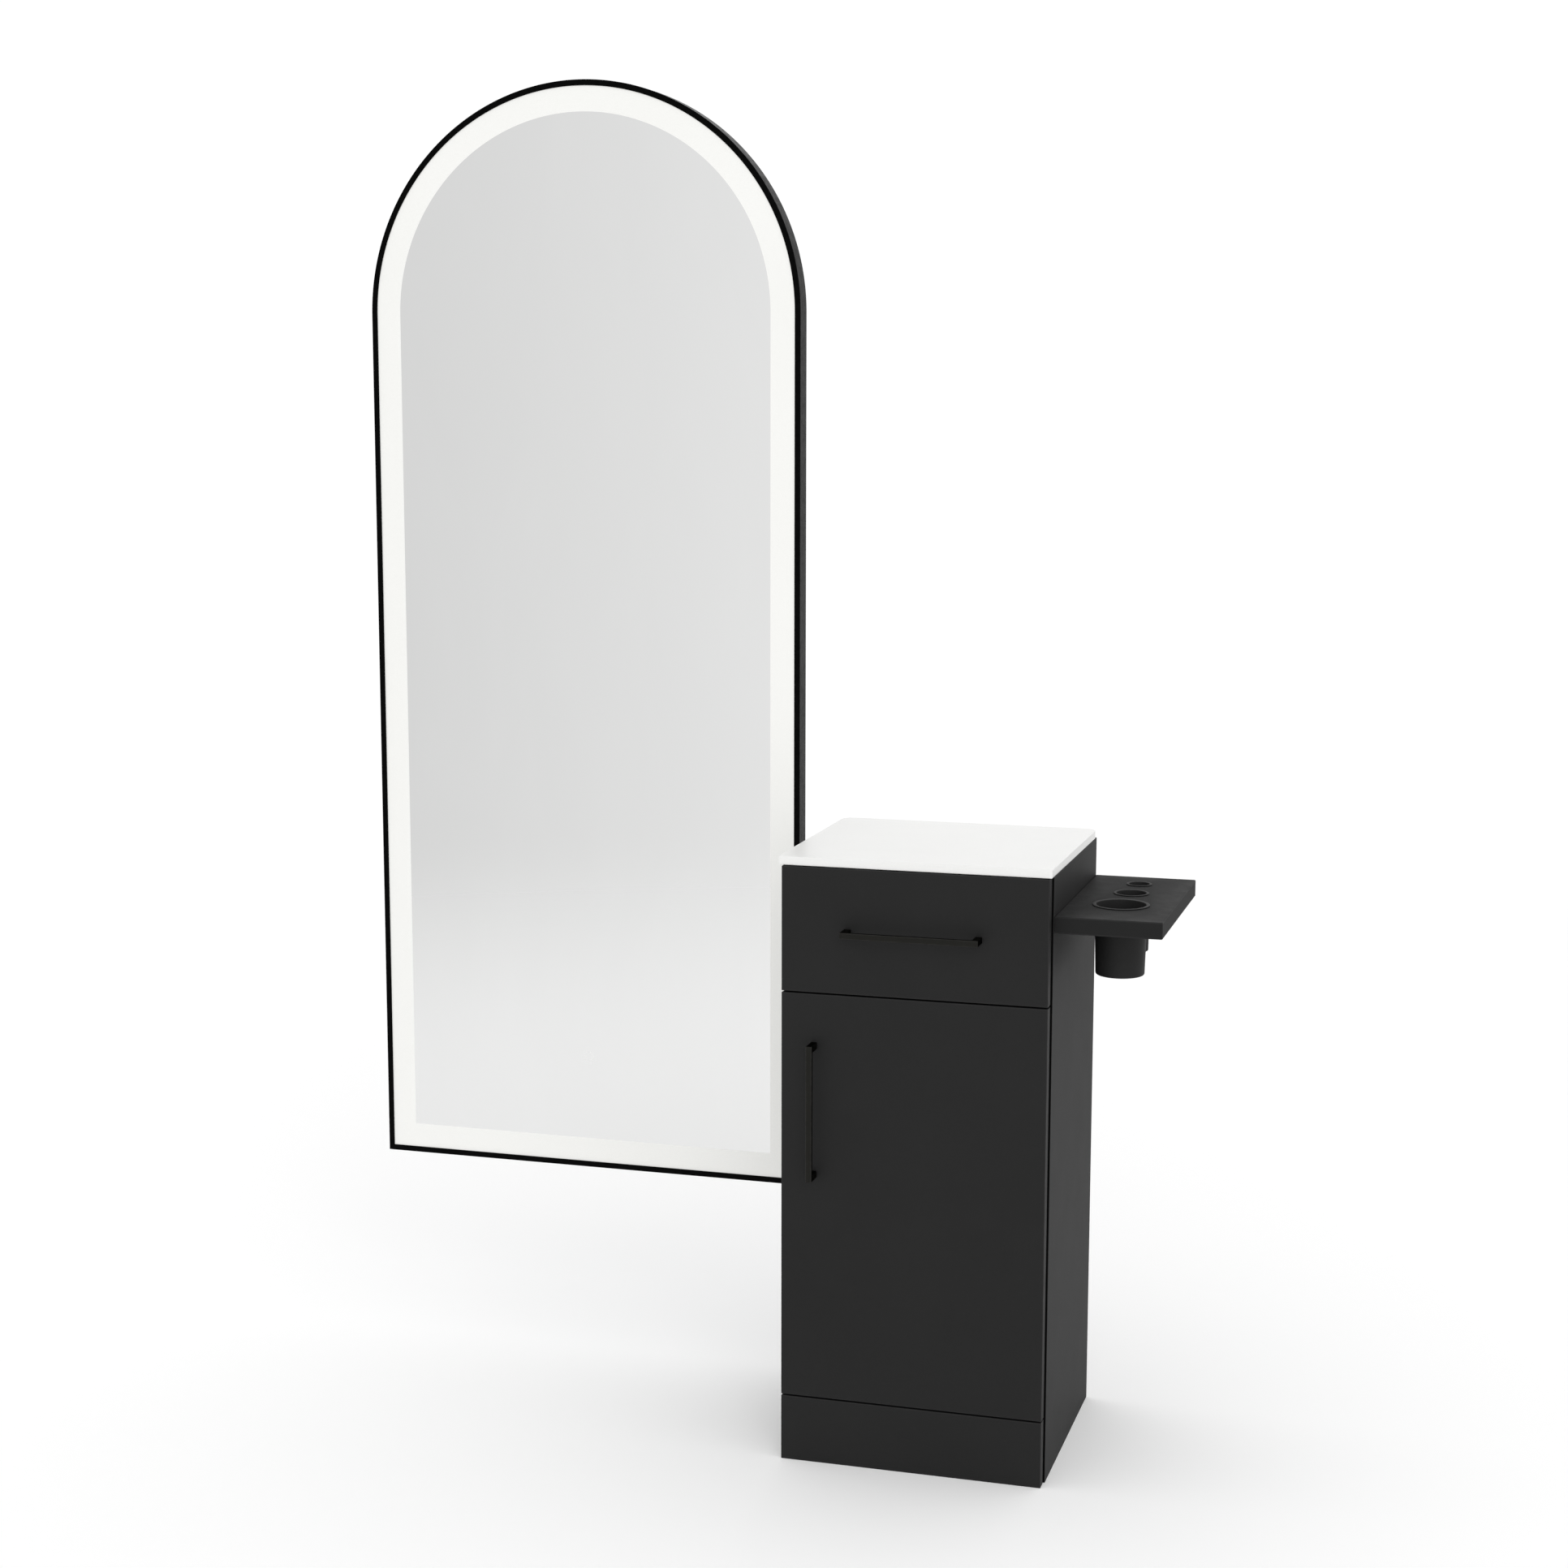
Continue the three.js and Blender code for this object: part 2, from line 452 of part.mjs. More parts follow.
{
  const frame = [[FRAME_FACE, -2, FRAME_LIP], [FRAME_WALL, FRAME_LIP - 0.01, LEDGE_V],
    [LEDGE_W, LEDGE_V - 0.01, LEDGE_V + LEDGE_T + 0.01], [FRAME_WALL, LEDGE_V + LEDGE_T, FRAME_DEPTH + 2]]
    .reduce((s, [inset, v0, v1]) => s.subtract(solid(archSlab(inset, v0, v1))),
      solid(archSlab(0, 0, FRAME_DEPTH)));
  // the bottom rail meets the bent arch in two mitres
  const mitre = (gap) => alongY([[-MIR_R - 30 + gap, MIR_Z0 - 30], [MIR_R + 30 - gap, MIR_Z0 - 30],
    [MIR_R - 60 - gap, MIR_Z0 + 60], [-MIR_R + 60 + gap, MIR_Z0 + 60]], MIR_Y - 5, FRAME_DEPTH + 10);
  add('mirror_frame_arch', shape(frame.subtract(solid(mitre(-0.2)))), FRAME, 0, 0, 0, mirror);
  add('mirror_frame_bottom', shape(frame.intersect(solid(mitre(0.2)))), FRAME, 0, 0, 0, mirror);
}
add('mirror_glass', archSlab(GLASS_IN, GLASS_V, GLASS_V + GLASS_T), MIRROR, 0, 0, 0, mirror);
const GLAND_X = -120, GLAND_Z = 480;
add('mirror_back_plate', cut(archSlab(GLASS_IN, PLATE_V, PLATE_V + PLATE_T),
  bar('y', 6.4, PLATE_T + 4, GLAND_X, MIR_Y + PLATE_V - 2, GLAND_Z, 16)), ALU, 0, 0, 0, mirror);
add('led_strip', cut(archSlab(STRIP_IN, PLATE_V - FIT - STRIP_T, PLATE_V - FIT),
  archSlab(STRIP_IN + STRIP_W, PLATE_V - 8, PLATE_V + 2)), LED, 0, 0, 0, mirror);
add('led_driver', new THREE.BoxGeometry(168, 17, 42), WHITE_PLASTIC,
  0, MIR_Y + PLATE_V - FIT - 8.5, 620, mirror);
add('touch_switch', bar('y', 12, 4, 0, 0, 0, 20), PLASTIC,
  0, MIR_Y + GLASS_V + GLASS_T + FIT, TOUCH_Z, mirror);
add('cable_grommet', new THREE.LatheGeometry([[3.5, -0.9], [8.5, -0.9], [8.5, 0], [6, 0.1],
  [6, 2.6], [8.5, 2.6], [8.5, 4], [3.5, 4], [3.5, -0.9]].map(([a, b]) => new THREE.Vector2(a, b)), 16),
PLASTIC, GLAND_X, MIR_Y + PLATE_V - FIT, GLAND_Z, mirror);

// interlocking hanging rails: one on the back plate, one on the wall
add('mirror_hanger', alongX([[-4.7, 1765], [-4.7, 1740], [-1.7, 1740], [-1.7, 1728],
  [-0.5, 1728], [-0.5, 1741.2], [-3.5, 1741.2], [-3.5, 1765]], -150, 300), ALU, 0, 0, 0, mirror);
add('wall_cleat', alongX([[0, 1698], [0, 1726.2], [-2, 1726.2], [-2, 1739.7], [-3.2, 1739.7],
  [-3.2, 1725], [-1.2, 1725], [-1.2, 1698]], -140, 280), ALU, 0, 0, 0, mirror);

// origin: middle of the footprint, at floor level
station.position.set(-(MIR_X0 + TOOL_X1) / 2, -(FRONT_Y - PULL_OUT) / 2, 0);

export default station;
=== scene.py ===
import json
import math

import bmesh
import bpy
import numpy as np
from mathutils import Matrix, Vector


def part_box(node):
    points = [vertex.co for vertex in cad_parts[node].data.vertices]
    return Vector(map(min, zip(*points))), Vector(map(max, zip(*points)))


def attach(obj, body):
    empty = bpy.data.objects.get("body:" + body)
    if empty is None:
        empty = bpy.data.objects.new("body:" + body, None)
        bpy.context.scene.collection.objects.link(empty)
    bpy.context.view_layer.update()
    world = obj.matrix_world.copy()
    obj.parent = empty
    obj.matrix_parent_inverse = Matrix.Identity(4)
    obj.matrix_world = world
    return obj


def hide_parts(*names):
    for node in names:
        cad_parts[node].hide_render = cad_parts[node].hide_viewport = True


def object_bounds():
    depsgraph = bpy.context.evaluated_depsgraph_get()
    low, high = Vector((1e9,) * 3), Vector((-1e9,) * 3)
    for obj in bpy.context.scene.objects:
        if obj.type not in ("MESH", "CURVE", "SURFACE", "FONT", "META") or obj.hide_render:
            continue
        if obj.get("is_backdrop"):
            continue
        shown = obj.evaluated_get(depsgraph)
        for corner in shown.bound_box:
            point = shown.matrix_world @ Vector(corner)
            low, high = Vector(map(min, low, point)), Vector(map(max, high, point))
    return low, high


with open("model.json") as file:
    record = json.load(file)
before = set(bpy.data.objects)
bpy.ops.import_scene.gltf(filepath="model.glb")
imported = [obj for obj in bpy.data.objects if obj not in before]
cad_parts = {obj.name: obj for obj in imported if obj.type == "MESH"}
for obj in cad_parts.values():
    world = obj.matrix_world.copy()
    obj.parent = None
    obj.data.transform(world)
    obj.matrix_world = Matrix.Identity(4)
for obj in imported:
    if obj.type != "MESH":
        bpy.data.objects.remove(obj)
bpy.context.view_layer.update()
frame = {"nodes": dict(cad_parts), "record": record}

SCENE = bpy.context.scene
NODES = frame["nodes"]
BODY_OF = {n: b for b, ns in frame["record"]["behaviour"]["bodies"].items() for n in ns}

# The CAD counts millimetres from the lower left corner of the fronts on the wall plane.
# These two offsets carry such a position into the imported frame, in metres.
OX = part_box("plinth_panel")[0].x
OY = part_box("side_panel_left")[1].y


def P(x, y, z):
    return Vector((OX + x / 1000, OY + y / 1000, z / 1000))


# ---------------------------------------------------------------------------
# materials
# ---------------------------------------------------------------------------

class Nodes:
    """A short way to write a node tree."""

    def __init__(self, name):
        self.mat = bpy.data.materials.new(name)
        self.mat.use_nodes = True
        self.t = self.mat.node_tree
        self.t.nodes.clear()
        self.out = self.t.nodes.new("ShaderNodeOutputMaterial")
        self.bsdf = self.t.nodes.new("ShaderNodeBsdfPrincipled")
        self.t.links.new(self.bsdf.outputs[0], self.out.inputs[0])
        self.coord = self.t.nodes.new("ShaderNodeTexCoord").outputs["Object"]

    def set(self, **values):
        for key, value in values.items():
            self.bsdf.inputs[key.replace("_", " ")].default_value = value
        return self

    def link(self, a, b):
        self.t.links.new(a, b)

    def new(self, kind, **props):
        n = self.t.nodes.new(kind)
        for k, v in props.items():
            setattr(n, k, v)
        return n

    def stretch(self, scale):
        m = self.new("ShaderNodeMapping")
        m.inputs["Scale"].default_value = scale
        self.link(self.coord, m.inputs["Vector"])
        return m.outputs[0]

    def noise(self, scale, detail=3.0, rough=0.55, vector=None, distortion=0.0):
        n = self.new("ShaderNodeTexNoise")
        n.inputs["Scale"].default_value = scale
        n.inputs["Detail"].default_value = detail
        n.inputs["Roughness"].default_value = rough
        n.inputs["Distortion"].default_value = distortion
        self.link(vector or self.coord, n.inputs["Vector"])
        return n.outputs["Fac"]

    def voronoi(self, scale, feature="F1", vector=None, output="Distance"):
        n = self.new("ShaderNodeTexVoronoi", feature=feature)
        n.inputs["Scale"].default_value = scale
        self.link(vector or self.coord, n.inputs["Vector"])
        return n.outputs[output]

    def remap(self, value, a, b, c, d, smooth=False):
        n = self.new("ShaderNodeMapRange", interpolation_type="SMOOTHSTEP" if smooth else "LINEAR")
        self.link(value, n.inputs["Value"])
        for k, v in zip(("From Min", "From Max", "To Min", "To Max"), (a, b, c, d)):
            n.inputs[k].default_value = v
        return n.outputs[0]

    def math(self, op, a, b=None):
        n = self.new("ShaderNodeMath", operation=op)
        for i, v in enumerate((a, b)):
            if v is None:
                continue
            if isinstance(v, (int, float)):
                n.inputs[i].default_value = v
            else:
                self.link(v, n.inputs[i])
        return n.outputs[0]

    def mix(self, fac, a, b):
        """Colour mix; a and b are colours or sockets."""
        n = self.new("ShaderNodeMix", data_type="RGBA")
        for socket, v in ((n.inputs[0], fac), (n.inputs[6], a), (n.inputs[7], b)):
            if hasattr(v, "links") or isinstance(v, bpy.types.NodeSocket):
                self.link(v, socket)
            elif isinstance(v, (tuple, list)):
                socket.default_value = (*v, 1.0) if len(v) == 3 else v
            else:
                socket.default_value = v
        return n.outputs[2]

    def edge(self):
        n = self.new("ShaderNodeAttribute", attribute_name="edge")
        return n.outputs["Fac"]

    def bump(self, height, strength, distance, after=None):
        n = self.new("ShaderNodeBump")
        n.inputs["Strength"].default_value = strength
        n.inputs["Distance"].default_value = distance
        self.link(height, n.inputs["Height"])
        if after is not None:
            self.link(after, n.inputs["Normal"])
        return n.outputs[0]

    def colour(self, socket):
        self.link(socket, self.bsdf.inputs["Base Color"])

    def rough(self, socket):
        self.link(socket, self.bsdf.inputs["Roughness"])

    def normal(self, socket):
        self.link(socket, self.bsdf.inputs["Normal"])


def grey(v, warm=0.0):
    return (v * (1 + warm), v, v * (1 - warm))


def tint(c, k):
    return tuple(x * k for x in c)


def laminate(name, base, rough, spec, edge_gain=1.5, rub_depth=0.03):
    """Melamine-faced board: a fine pearl texture, cloudy tone, and the plastic edge band that
    runs round each board, a little lighter and smoother than the faces."""
    m = Nodes(name)
    clouds = m.remap(m.noise(5.5, 4, 0.6), 0.3, 0.7, 0.0, 1.0)
    grain = m.remap(m.noise(900, 2, 0.6), 0.35, 0.65, 0.0, 1.0)
    face = m.mix(clouds, tint(base, 0.95), tint(base, 1.06))
    face = m.mix(m.math("MULTIPLY", grain, 0.22), face, tint(base, 1.32))
    wear = m.remap(m.noise(38, 4, 0.7), 0.42, 0.62, 0.55, 1.0)
    rim = m.math("MULTIPLY", m.edge(), wear)
    m.colour(m.mix(rim, face, tint(base, edge_gain)))
    rub = m.remap(m.noise(14, 5, 0.65), 0.3, 0.72, rough - rub_depth, rough + rub_depth)
    m.rough(m.math("SUBTRACT", rub, m.math("MULTIPLY", rim, 0.1)))
    fine = m.bump(m.noise(1500, 3, 0.6), 0.16, 0.00018)
    m.normal(m.bump(m.noise(420, 2, 0.5), 0.08, 0.0003, fine))
    m.set(Specular_IOR_Level=spec)
    return m.mat


def stone(name):
    """White composite stone: fine quartz grains, a few clear chips and faint clouding, honed."""
    m = Nodes(name)
    clouds = m.remap(m.noise(9, 5, 0.6), 0.3, 0.7, 0.0, 1.0)
    c = m.mix(clouds, (0.85, 0.85, 0.837), (0.864, 0.864, 0.85))
    cell = m.new("ShaderNodeTexVoronoi")
    cell.inputs["Scale"].default_value = 620
    m.link(m.coord, cell.inputs["Vector"])
    sep = m.new("ShaderNodeSeparateColor")
    m.link(cell.outputs["Color"], sep.inputs[0])
    chip = m.remap(sep.outputs[0], 0.93, 0.955, 0.0, 0.055)
    c = m.mix(chip, c, (0.66, 0.66, 0.64))
    pale = m.remap(sep.outputs[1], 0.9, 0.93, 0.0, 0.14)
    c = m.mix(pale, c, (0.95, 0.95, 0.945))
    m.colour(c)
    r = m.remap(m.noise(22, 4, 0.6), 0.3, 0.7, 0.31, 0.345)
    m.rough(m.math("SUBTRACT", r, m.math("MULTIPLY", chip, 0.4)))
    m.normal(m.bump(m.noise(260, 3, 0.6), 0.04, 0.0002))
    m.set(Specular_IOR_Level=0.32)
    return m.mat


def coated_metal(name, base, rough, spec, edge_base, bump=0.16, scale=2300):
    """Satin powder coat: orange-peel skin, bright where hands have polished the arrises."""
    m = Nodes(name)
    clouds = m.remap(m.noise(30, 4, 0.6), 0.3, 0.7, 0.0, 1.0)
    c = m.mix(clouds, tint(base, 0.88), tint(base, 1.12))
    worn = m.math("MULTIPLY", m.edge(), m.remap(m.noise(120, 3, 0.6), 0.38, 0.6, 0.35, 1.0))
    m.colour(m.mix(worn, c, edge_base))
    r = m.remap(m.noise(55, 4, 0.6), 0.3, 0.7, rough - 0.05, rough + 0.06)
    m.rough(m.math("SUBTRACT", r, m.math("MULTIPLY", worn, 0.12)))
    m.normal(m.bump(m.noise(scale, 2, 0.5), bump, 0.00012))
    m.set(Specular_IOR_Level=spec)
    return m.mat


def moulded(name, base, rough, spec, scale=1300, strength=0.35, depth=0.0003):
    """Moulded plastic with a spark-eroded skin."""
    m = Nodes(name)
    clouds = m.remap(m.noise(24, 4, 0.6), 0.3, 0.7, 0.0, 1.0)
    pits = m.voronoi(scale)
    grain = m.noise(scale * 0.8, 3, 0.6)
    c = m.mix(clouds, tint(base, 0.9), tint(base, 1.1))
    c = m.mix(m.remap(grain, 0.4, 0.68, 0.0, 0.35), c, tint(base, 1.55))
    m.colour(m.mix(m.math("MULTIPLY", m.edge(), 0.6), c, tint(base, 1.8)))
    m.rough(m.remap(grain, 0.3, 0.7, rough - 0.06, rough + 0.07))
    first = m.bump(grain, strength, depth)
    m.normal(m.bump(pits, strength * 0.5, depth * 0.6, first))
    m.set(Specular_IOR_Level=spec)
    return m.mat


def zinc(name, base=(0.50, 0.51, 0.53), rough=0.3):
    """Bright zinc plate: faint spangle and fine drawing lines along the part."""
    m = Nodes(name)
    lines = m.noise(260, 3, 0.6, m.stretch((1.0, 0.05, 1.0)))
    spangle = m.noise(85, 2, 0.5)
    c = m.mix(m.remap(spangle, 0.3, 0.7, 0.0, 1.0), tint(base, 0.86), tint(base, 1.1))
    m.colour(c)
    r = m.math("ADD", m.remap(lines, 0.3, 0.7, -0.05, 0.05), m.remap(spangle, 0.3, 0.7, rough - 0.05, rough + 0.07))
    m.rough(r)
    m.normal(m.bump(lines, 0.1, 0.0001))
    m.set(Metallic=1.0)
    return m.mat


def mill_aluminium(name, along=(0.03, 1.0, 1.0), base=(0.42, 0.425, 0.435)):
    """Rolled sheet: long soft streaks and a few handling scuffs."""
    m = Nodes(name)
    streak = m.noise(420, 4, 0.6, m.stretch(along))
    broad = m.noise(26, 3, 0.5, m.stretch(along))
    scuff = m.noise(60, 6, 0.75, distortion=1.2)
    c = m.mix(m.remap(streak, 0.3, 0.7, 0.0, 1.0), tint(base, 0.88), tint(base, 1.08))
    c = m.mix(m.remap(scuff, 0.66, 0.74, 0.0, 0.5), c, tint(base, 1.35))
    m.colour(c)
    r = m.math("ADD", m.remap(broad, 0.3, 0.7, -0.05, 0.06), m.remap(streak, 0.3, 0.7, 0.34, 0.46))
    m.rough(r)
    m.normal(m.bump(streak, 0.08, 0.0001))
    m.set(Metallic=1.0)
    return m.mat


def silvered(name):
    """Silvered glass seen from the front: the wipe marks only show as a breath of roughness."""
    m = Nodes(name)
    wipe = m.noise(7, 4, 0.6, m.stretch((1.0, 1.0, 0.35)), 0.8)
    m.colour(m.mix(m.remap(wipe, 0.3, 0.7, 0.0, 1.0), (0.797, 0.799, 0.795), (0.807, 0.809, 0.805)))
    m.rough(m.remap(wipe, 0.45, 0.8, 0.012, 0.035))
    m.set(Metallic=1.0)
    return m.mat


def etched(name):
    """Sand-etched band with a very fine frost. Its bright, even glow is an emission painted into the glass, standing in
    for the strip light behind it.
    """
    m = Nodes(name)
    frost = m.noise(1700, 2, 0.6)
    glow = m.noise(3.0, 2, 0.5)
    c = m.mix(m.remap(frost, 0.35, 0.65, 0.0, 1.0), (0.55, 0.55, 0.535), (0.60, 0.60, 0.585))
    m.colour(c)
    m.rough(m.remap(frost, 0.3, 0.7, 0.42, 0.55))
    m.normal(m.bump(frost, 0.06, 0.0001))
    e = m.mix(m.remap(glow, 0.3, 0.7, 0.0, 1.0), (0.955, 0.955, 0.925), (1.0, 1.0, 0.975))
    # painted glow: the band emits light itself in place of the strip's light shining through
    m.link(e, m.bsdf.inputs["Emission Color"])
    m.set(Emission_Strength=0.36, Specular_IOR_Level=0.2)
    return m.mat


def glass_edge(name):
    """Ground edge and uncoated back paint of the pane."""
    m = Nodes(name)
    frost = m.noise(900, 3, 0.6)
    m.colour(m.mix(m.remap(frost, 0.35, 0.65, 0.0, 1.0), (0.16, 0.24, 0.21), (0.24, 0.33, 0.30)))
    m.rough(m.remap(frost, 0.3, 0.7, 0.25, 0.4))
    m.normal(m.bump(frost, 0.15, 0.0002))
    m.set(Specular_IOR_Level=0.5)
    return m.mat


def touch_ring(name):
    m = Nodes(name)
    frost = m.noise(1500, 2, 0.6)
    m.colour(m.mix(m.remap(frost, 0.35, 0.65, 0.0, 1.0), (0.90, 0.90, 0.89), (0.94, 0.94, 0.93)))
    m.rough(m.remap(frost, 0.3, 0.7, 0.3, 0.4))
    m.set(Metallic=0.3, Specular_IOR_Level=0.2)
    return m.mat


def led_tape(name):
    """Light strip: phosphor dots on a white tape."""
    m = Nodes(name)
    dots = m.voronoi(60)
    mask = m.remap(dots, 0.28, 0.34, 1.0, 0.0)
    m.colour(m.mix(mask, (0.86, 0.86, 0.84), (0.82, 0.66, 0.14)))
    m.rough(m.remap(dots, 0.0, 0.6, 0.3, 0.5))
    m.link(m.mix(mask, (0.02, 0.02, 0.02), (1.0, 0.95, 0.85)), m.bsdf.inputs["Emission Color"])
    m.set(Emission_Strength=1.5)
    return m.mat


# fronts, case and tool shelf are one laminate; their base tones differ to paint the light on each part: darker on the
# fronts, lighter on the case and lighter still on the shelf
LAM = grey(0.0145, 0.0)
M = {
    "front": laminate("front_laminate_matt", LAM, 0.58, 0.15, 1.8),
    "case": laminate("case_laminate_matt", grey(0.0165), 0.6, 0.085, 1.6, 0.012),
    "shelf": laminate("tool_shelf_laminate", grey(0.0188), 0.64, 0.045, 1.6, 0.006),
    "inner": laminate("inner_melamine", grey(0.04), 0.55, 0.25, 1.3),
    "stone": stone("white_composite_stone"),
    "pull": coated_metal("pull_powder_coat", (0.0086, 0.0084, 0.0066), 0.42, 0.13, (0.02, 0.0195, 0.0175)),
    # near-black copy of the pull coat for the pull's returns, top and legs: painted shade
    "pull_painted_shade": coated_metal("pull_powder_coat_painted_shade", (0.0011, 0.0011, 0.0008), 0.7, 0.012, (0.004, 0.004, 0.0035)),
    # near-black material for the carcass boards' front edges: painted shadow of the gap behind the fronts
    "gap": coated_metal("front_edge_painted_shadow", grey(0.0022), 0.6, 0.03, grey(0.003)),
    "frame": coated_metal("frame_anodised_black", grey(0.0010), 0.36, 0.022, grey(0.0025), 0.08, 1800),
    "cup": moulded("cup_spark_plastic", grey(0.0165), 0.58, 0.13),
    "zinc": zinc("zinc_plate"),
    "nickel": zinc("nickel_plate", (0.56, 0.545, 0.52), 0.22),
    "alu": mill_aluminium("mill_aluminium"),
    "silver": silvered("silvered_glass"),
    "etched": etched("etched_band_painted_glow"),
    "glass_edge": glass_edge("ground_glass_edge"),
    "touch": touch_ring("touch_mark_frost"),
    "alu_bright": mill_aluminium("extruded_aluminium", (0.03, 1.0, 1.0), (0.62, 0.625, 0.635)),
    "clear": moulded("soft_stop_rubber", (0.32, 0.32, 0.31), 0.35, 0.4, 700, 0.08, 0.0002),
    "led": led_tape("led_tape"),
    "white": moulded("white_moulding", (0.68, 0.68, 0.66), 0.45, 0.4, 900, 0.12, 0.0002),
    "dark": moulded("dark_moulding", grey(0.013), 0.55, 0.3, 1100, 0.25, 0.0003),
}


# ---------------------------------------------------------------------------
# mesh helpers
# ---------------------------------------------------------------------------

def make(name, verts, faces, edge=None, angle=40):
    """A smooth-shaded mesh object with sharp edges over `angle`, in frame coordinates."""
    me = bpy.data.meshes.new(name)
    me.from_pydata([tuple(v) for v in verts], [], faces)
    if edge is not None:
        a = me.attributes.new("edge", "FLOAT", "POINT")
        a.data.foreach_set("value", np.asarray(edge, np.float32))
    me.polygons.foreach_set("use_smooth", [True] * len(me.polygons))
    me.update()
    me.set_sharp_from_angle(angle=math.radians(angle))
    o = bpy.data.objects.new(name, me)
    SCENE.collection.objects.link(o)
    return o


def weighted(o):
    w = o.modifiers.new("weighted", "WEIGHTED_NORMAL")
    w.keep_sharp = True
    w.weight = 80
    return o


def place(o, body, materials, nodes=()):
    for m in (materials if isinstance(materials, (list, tuple)) else [materials]):
        o.data.materials.append(m)
    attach(o, body)
    if nodes:
        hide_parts(*nodes)
    return o


ARC = [-1.0, -math.tan(math.radians(22.5)), 0.0]


def rounded_box(lo, hi, r, rim=None):
    """Box with rounded edges of radius r, and a loop `rim` inside each edge for the edge tone.
    Returns vertices, faces and the edge value of each vertex."""
    lo, hi = np.array(lo, float), np.array(hi, float)
    size = hi - lo
    r = min(r, size.min() * 0.45)
    rim = r * 0.9 if rim is None else rim
    inner_lo, inner_hi = lo + r, hi - r
    axes = []
    for k in range(3):
        span = inner_hi[k] - inner_lo[k]
        d = min(rim, span * 0.3)
        axes.append([(-1, t) for t in ARC[:-1]] + [(0, inner_lo[k]), (0, inner_lo[k] + d),
                    (0, inner_hi[k] - d), (0, inner_hi[k])] + [(1, -t) for t in reversed(ARC[:-1])])
    n = len(axes[0])
    index, verts, edge, faces = {}, [], [], []

    def vertex(i, j, k):
        key = (i, j, k)
        if key in index:
            return index[key]
        base, off, flat = np.zeros(3), np.zeros(3), 0
        near = 0
        for a, q in enumerate(key):
            side, v = axes[a][q]
            if side < 0:
                base[a], off[a] = inner_lo[a], v
            elif side > 0:
                base[a], off[a] = inner_hi[a], v
            else:
                base[a] = v
                if q in (2, n - 3):
                    near += 1
        length = np.linalg.norm(off)
        arc = (np.abs(off) > 1e-9).sum() >= 2
        verts.append(base + off / length * r)
        edge.append(1.0 if arc else (0.55 if near else 0.0))
        index[key] = len(verts) - 1
        return index[key]

    last = n - 1
    for a in range(3):
        b, c = (a + 1) % 3, (a + 2) % 3
        for side in (0, last):
            for p in range(last):
                for q in range(last):
                    quad = []
                    for dp, dq in ((0, 0), (1, 0), (1, 1), (0, 1)):
                        key = [0, 0, 0]
                        key[a], key[b], key[c] = side, p + dp, q + dq
                        quad.append(vertex(*key))
                    if side == 0:
                        quad.reverse()
                    if len(set(quad)) == 4:
                        faces.append(quad)
    return verts, faces, edge


def cylinder_cutter(axis, r, a, b, centre, segments=32):
    """Closed cylinder from a to b along an axis, as (verts, faces), for a boolean."""
    k = "xyz".index(axis)
    u, v = (k + 1) % 3, (k + 2) % 3
    verts, faces = [], []
    for end in (a, b):
        for i in range(segments):
            t = 2 * math.pi * i / segments
            p = [0.0, 0.0, 0.0]
            p[k] = end
            p[u] = centre[u] + r * math.cos(t)
            p[v] = centre[v] + r * math.sin(t)
            verts.append(p)
    for i in range(segments):
        j = (i + 1) % segments
        faces.append([i, j, segments + j, segments + i])
    faces.append(list(reversed(range(segments))))
    faces.append(list(range(segments, 2 * segments)))
    return verts, faces


def drill(o, cutters):
    """Cuts closed meshes out of o and keeps the result in its own mesh."""
    verts, faces = [], []
    for v, f in cutters:
        base = len(verts)
        verts += v
        faces += [[i + base for i in face] for face in f]
    me = bpy.data.meshes.new("cutter")
    me.from_pydata(verts, [], faces)
    me.update()
    c = bpy.data.objects.new("cutter", me)
    SCENE.collection.objects.link(c)
    mod = o.modifiers.new("drill", "BOOLEAN")
    mod.operation = "DIFFERENCE"
    mod.solver = "EXACT"
    mod.object = c
    dg = bpy.context.evaluated_depsgraph_get()
    cut = bpy.data.meshes.new_from_object(o.evaluated_get(dg))
    o.modifiers.clear()
    old = o.data
    o.data = cut
    cut.name = old.name
    bpy.data.meshes.remove(old)
    bpy.data.objects.remove(c)
    bpy.data.meshes.remove(me)
    o.data.polygons.foreach_set("use_smooth", [True] * len(o.data.polygons))
    o.data.set_sharp_from_angle(angle=math.radians(40))
    return o


def board(node, material, r=0.0008, holes=(), name=None, front_painted_shadow=None):
    """A laminate board in the place of the CAD board, with rounded arrises and drilled holes.
    holes: (axis, radius mm, from, to, (x, y, z)) with from/to and centre as frame metres."""
    lo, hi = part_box(node)
    v, f, e = rounded_box(lo, hi, r, 0.0011)
    o = make(name or node + "_board", v, f, e)
    if holes:
        drill(o, [cylinder_cutter(a, rad / 1000, p, q, c, seg) for a, rad, p, q, c, seg in holes])
    weighted(o)
    place(o, BODY_OF[node], material, [node])
    if front_painted_shadow is not None:
        # the front edge faces get a near-black material, a painted shadow, so the gap behind the fronts reads as a
        # shadow line
        o.data.materials.append(front_painted_shadow)
        o.data.polygons.foreach_set("material_index", [1 if p.normal.y < -0.97 else 0 for p in o.data.polygons])
        o.data.update()
    return o


